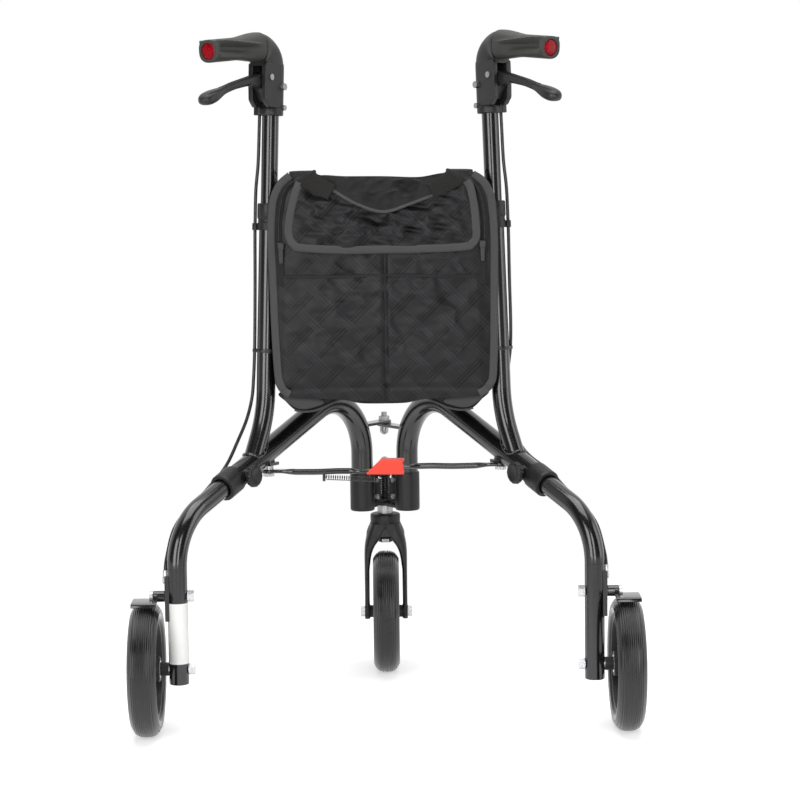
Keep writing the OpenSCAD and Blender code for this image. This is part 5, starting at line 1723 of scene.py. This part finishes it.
    def build_handle(self) -> None:
        """Webbing bands that come over the top and run inwards, and a cloth wrap with a piped edge between them."""
        for name, k in (("left", -1.0), ("right", 1.0)):
            line = spline(mirrored(k, ((102, 8, 699), (102, -6, 702.5), (101, -18, 703.5), (100, -30, 701.5),
                                       (95, -40, 695.5), (84, -47, 688), (64, -51.5, 677))), 8)
            t = np.linspace(0, 1, len(line))
            lean = np.radians(90 * (1 - ease(t, 0.2, 0.72)))
            out = np.column_stack([0 * t, -np.cos(lean), np.sin(lean)])
            half = 17.5 - 7.0 * ease(t, 0.3, 1.0)
            band = oval(half, np.full(len(t), 1.3), np.full(len(t), 3.0), 20)
            self.sew("bag_webbing_" + name, Stock().sweep(line, band, out), WEBBING)
        outline = self.ring(self.wrap_edge, 200)
        wrap = self.sew("bag_handle_wrap", self.cloth(outline, 8.6, 2.0, 2.2, 70.0, 12, rings=48), LINING)
        line = self.over(((-62, 679.5), (-32, 662), (2.3, 651.5), (36, 661), (69, 673)), 10.2)
        self.sew("bag_handle_piping", self.tape(line, 2.0, 1.6), BINDING)

    def build_gussets(self) -> None:
        """Corner gussets under the panel: a dark cloth lobe, a grey patch on it and a piped lower edge."""
        for name, k in (("left", -1.0), ("right", 1.0)):
            lobe = self.ring(mirrored(k, ((136, 416), (128, 404), (116, 393), (104, 391), (88, 393), (66, 402),
                                          (52, 410), (90, 420))), 120)
            patch = self.ring(mirrored(k, ((131, 411), (117, 398), (105, 394.6), (92, 397), (78, 403), (90, 411),
                                           (110, 416))), 96)
            for part, shape, y, finish in (("lobe", lobe, -17.0, LINING), ("patch", patch, -24.5, BINDING)):
                mid = shape.mean(axis=0)
                share = np.concatenate([np.linspace(0.03, 1, 10), np.linspace(1, 0.03, 10)])
                grid = mid + share[:, None, None] * (shape - mid)
                half = np.repeat([-1.0, 1.0], 10) * (1.2 + 3.0 * (1 - share ** 3))
                points = np.stack([grid[..., 0], y - half[:, None] + 0 * grid[..., 0], grid[..., 1]], -1)
                self.sew(f"bag_gusset_{part}_{name}", Stock().skin(points, flat=grid), finish)
            line = mirrored(k, ((117, -19, 393), (104, -20, 391), (88, -20, 393), (66, -20, 402), (54, -20, 409)))
            self.sew("bag_gusset_piping_" + name, self.tape(spline(line, 10), 1.5, 1.5), BINDING)

    def build(self) -> None:
        """Builds every piece of the bag."""
        self.build_body()
        self.build_panel()
        self.build_zips()
        self.build_flap()
        self.build_handle()
        self.build_gussets()


@dataclass
class Studio:
    """Plain white studio: the camera of the photograph, a floor, a pale room and soft lamps."""

    eye: tuple[float, float, float] = (0.0, -3.1398, 0.7579)
    pitch: float = 6.46
    roll: float = -0.667
    yaw: float = 0.389
    lens_mm: float = 108.0
    sensor_mm: float = 36.0
    room: float = 0.15
    dark: float = 0.10
    gloss_y: tuple[float, float] = (-0.25, 0.3)
    floor_half: float = 30.0
    floor_glow: float = 0.5
    floor_fade: tuple[float, float] = (0.55, 1.1)

    def stand(self, name: str, data: bpy.types.ID, axes: Axes) -> bpy.types.Object:
        """Puts a camera or a lamp into the scene, where it looks against the z of axes in metres.

        Args:
            name: the object's name.
            data: the camera or the lamp.
            axes: where it stands.

        Returns:
            The object.
        """
        obj = bpy.data.objects.new(name, data)
        bpy.context.scene.collection.objects.link(obj)
        turn = np.eye(4)
        turn[:3] = np.stack([axes.ex, axes.ey, axes.ez, np.array(axes.origin, float)], axis=1)
        obj.matrix_world = Matrix(turn.tolist())
        return obj

    def place_camera(self) -> None:
        """Camera that looks along its pitch and yaw, rolled about that line."""
        (cp, sp), (cr, sr), (cy, sy) = (cos_sin(v) for v in (self.pitch, self.roll, self.yaw))
        ahead, level = np.array([sy * cp, cy * cp, -sp]), np.array([cy, -sy, 0.0])
        above = np.cross(level, ahead)
        data = bpy.data.cameras.new("photo_camera")
        data.lens, data.sensor_width, data.sensor_fit = self.lens_mm, self.sensor_mm, "HORIZONTAL"
        data.clip_end = 100.0
        bpy.context.scene.camera = self.stand("photo_camera", data, Axes(
            self.eye, level * cr + above * sr, above * cr - level * sr, -ahead))

    def light_room(self) -> None:
        """World that the camera sees as white, and gloss as white behind the object and dim behind the camera."""
        world = bpy.data.worlds.new("white_room")
        bpy.context.scene.world = world
        world.use_nodes = True
        tree = world.node_tree
        path = add_node(tree, "ShaderNodeLightPath")
        apart = add_node(tree, "ShaderNodeSeparateXYZ", {
            "Vector": add_node(tree, "ShaderNodeTexCoord").outputs["Generated"]})
        gloss = add_node(tree, "ShaderNodeMapRange", {
            "Value": apart.outputs["Y"], "From Min": self.gloss_y[0], "From Max": self.gloss_y[1],
            "To Min": self.dark, "To Max": 1.0}, interpolation_type="SMOOTHSTEP")
        level = add_node(tree, "ShaderNodeMix", {
            0: path.outputs["Is Glossy Ray"], 2: self.room, 3: gloss.outputs["Result"]})
        seen = calc(tree, "MAXIMUM", path.outputs["Is Camera Ray"], path.outputs["Is Transmission Ray"])
        strength = add_node(tree, "ShaderNodeMix", {0: seen, 2: level.outputs[0], 3: 1.0})
        glow = add_node(tree, "ShaderNodeBackground", {"Color": WHITE, "Strength": strength.outputs[0]})
        tree.links.new(glow.outputs[0], tree.nodes["World Output"].inputs["Surface"])

    def lay_floor(self) -> None:
        """Wide white floor that glows a little to the camera, so that it is white and still takes the shadow."""
        h = self.floor_half
        mesh = bpy.data.meshes.new("studio_floor")
        mesh.from_pydata([(-h, -h, 0), (h, -h, 0), (h, h, 0), (-h, h, 0)], [], [(0, 1, 2, 3)])
        floor = bpy.data.objects.new("studio_floor", mesh)
        bpy.context.scene.collection.objects.link(floor)
        made = bpy.data.materials.new("white_studio_floor")
        made.use_nodes = True
        tree = made.node_tree
        tree.nodes.remove(tree.nodes["Principled BSDF"])
        path = add_node(tree, "ShaderNodeLightPath")
        seen = calc(tree, "MAXIMUM", path.outputs["Is Camera Ray"], path.outputs["Is Glossy Ray"])
        seen = calc(tree, "MAXIMUM", seen, path.outputs["Is Transmission Ray"])
        matt = add_node(tree, "ShaderNodeBsdfDiffuse", {"Color": linear("#f4f4f4")})
        near = calc(tree, "MULTIPLY", seen, self.floor_glow)
        soft = add_node(tree, "ShaderNodeEmission", {"Color": WHITE, "Strength": near})
        lit = add_node(tree, "ShaderNodeAddShader", {0: matt.outputs[0], 1: soft.outputs[0]})
        far = add_node(tree, "ShaderNodeEmission", {"Color": WHITE, "Strength": seen})
        away = add_node(tree, "ShaderNodeVectorMath", {
            0: add_node(tree, "ShaderNodeTexCoord").outputs["Object"]}, operation="LENGTH")
        edge = add_node(tree, "ShaderNodeMapRange", {
            "Value": away.outputs["Value"], "From Min": self.floor_fade[0], "From Max": self.floor_fade[1]},
            interpolation_type="SMOOTHSTEP")
        both = add_node(tree, "ShaderNodeMixShader", {0: edge.outputs["Result"], 1: lit.outputs[0], 2: far.outputs[0]})
        tree.links.new(both.outputs[0], tree.nodes["Material Output"].inputs["Surface"])
        mesh.materials.append(made)

    def hang_lamp(self, name: str, at: Sequence[float], aim: Sequence[float], size: Sequence[float],
                  watts: float) -> None:
        """Hangs one rectangular soft lamp.

        Args:
            name: the lamp's name.
            at: its place, in metres.
            aim: the point that it faces.
            size: its width and height.
            watts: its power.
        """
        data = bpy.data.lights.new(name, "AREA")
        data.shape, data.size, data.size_y, data.energy = "RECTANGLE", size[0], size[1], watts
        back = unit(np.array(at, float) - np.array(aim, float))
        side = unit(np.cross(WORLD.ez, back))
        self.stand(name, data, Axes(at, side, np.cross(back, side), back))

    def build(self) -> None:
        """Sets up the camera, the room, the floor and the lamps."""
        self.place_camera()
        self.light_room()
        self.lay_floor()
        self.hang_lamp("left_strip", (-1.5, -2.6, 1.0), (0, 0, 0.5), (1.3, 2.2), 46.0)
        self.hang_lamp("middle_strip", (0.42, -3.0, 1.0), (0, 0, 0.5), (0.7, 2.2), 28.0)
        self.hang_lamp("right_wall", (2.6, -0.6, 1.2), (0, 0, 0.5), (1.2, 2.2), 22.0)
        self.hang_lamp("top_box", (0.0, -0.3, 3.2), (0, 0, 0.0), (2.6, 2.6), 76.0)
        scene = bpy.context.scene
        scene.view_settings.view_transform = "Standard"


# Heights where the two hinge blocks and the two pivot straps interleave on the shaft, and faces along the axles.
EARS = {Side.LEFT: (235.4, 273.6), Side.RIGHT: (230.0, 279.0)}
PLATE_LOW = {Side.LEFT: 346.5, Side.RIGHT: 342.1}
HUB_FACE, LEG_FACE, FORK_FACE = 17.2, 12.7, 23.0

CARRIED: dict[str, Finish] = {
    "pivot_shaft": SPRING, "shaft_nuts": DULL, "upper_bolt": DULL, "front_axle": ZINC, "front_bearings": ZINC,
    "rear_axle_left": ZINC, "rear_axle_right": ZINC, "bearings_left": ZINC, "bearings_right": ZINC,
    "frame_bolts_left": ZINC, "frame_bolts_right": ZINC, "handle_bolts_left": DULL, "handle_bolts_right": DULL,
    "link_tab_left": ENAMEL, "link_tab_right": ENAMEL, "brake_bracket_left": ENAMEL, "brake_bracket_right": ENAMEL,
}


def dress_carried() -> None:
    """Gives every solid that still shows its finish, through its material slots."""
    for node, finish in CARRIED.items():
        obj = bpy.data.objects[node]
        if not obj.material_slots:
            obj.data.materials.append(finish.material())
        for slot in obj.material_slots:
            slot.material = finish.material()
        LOG.info("solid %s dressed as %s", node, finish.name)


def main() -> None:
    """Builds the studio, the cords and then every sub-assembly."""
    logging.basicConfig(level=logging.INFO, format="%(message)s")
    Studio().build()
    for side in Side:
        Brake(side).build()
    for side in Side:
        SideFrame(side).build(EARS[side], PLATE_LOW[side])
        Handle(side).build()
        wheel = PLAN.leg_axes(side, PLAN.wheel_r)
        hub = Axes(wheel.origin + wheel.ex * PLAN.wheel_out, wheel.ey, wheel.ez, wheel.ex)
        Wheel(hub, "_" + side.tag, "wheel_" + side.tag, ("tyre_" + side.tag, "rim_" + side.tag),
              sleeves=((LEG_FACE - PLAN.wheel_out, -HUB_FACE),)).build()
    front = np.array([0, PLAN.axis_y - PLAN.trail, PLAN.wheel_r])
    Wheel(Axes(front, WORLD.ey, WORLD.ez, WORLD.ex), "_front", "front_wheel", ("front_tyre", "front_rim"),
          sleeves=((-FORK_FACE, -HUB_FACE), (HUB_FACE, FORK_FACE))).build()
    Caster().build()
    Crossbar().build()
    Bag().build()
    dress_carried()


if __name__ == "__main__":
    main()
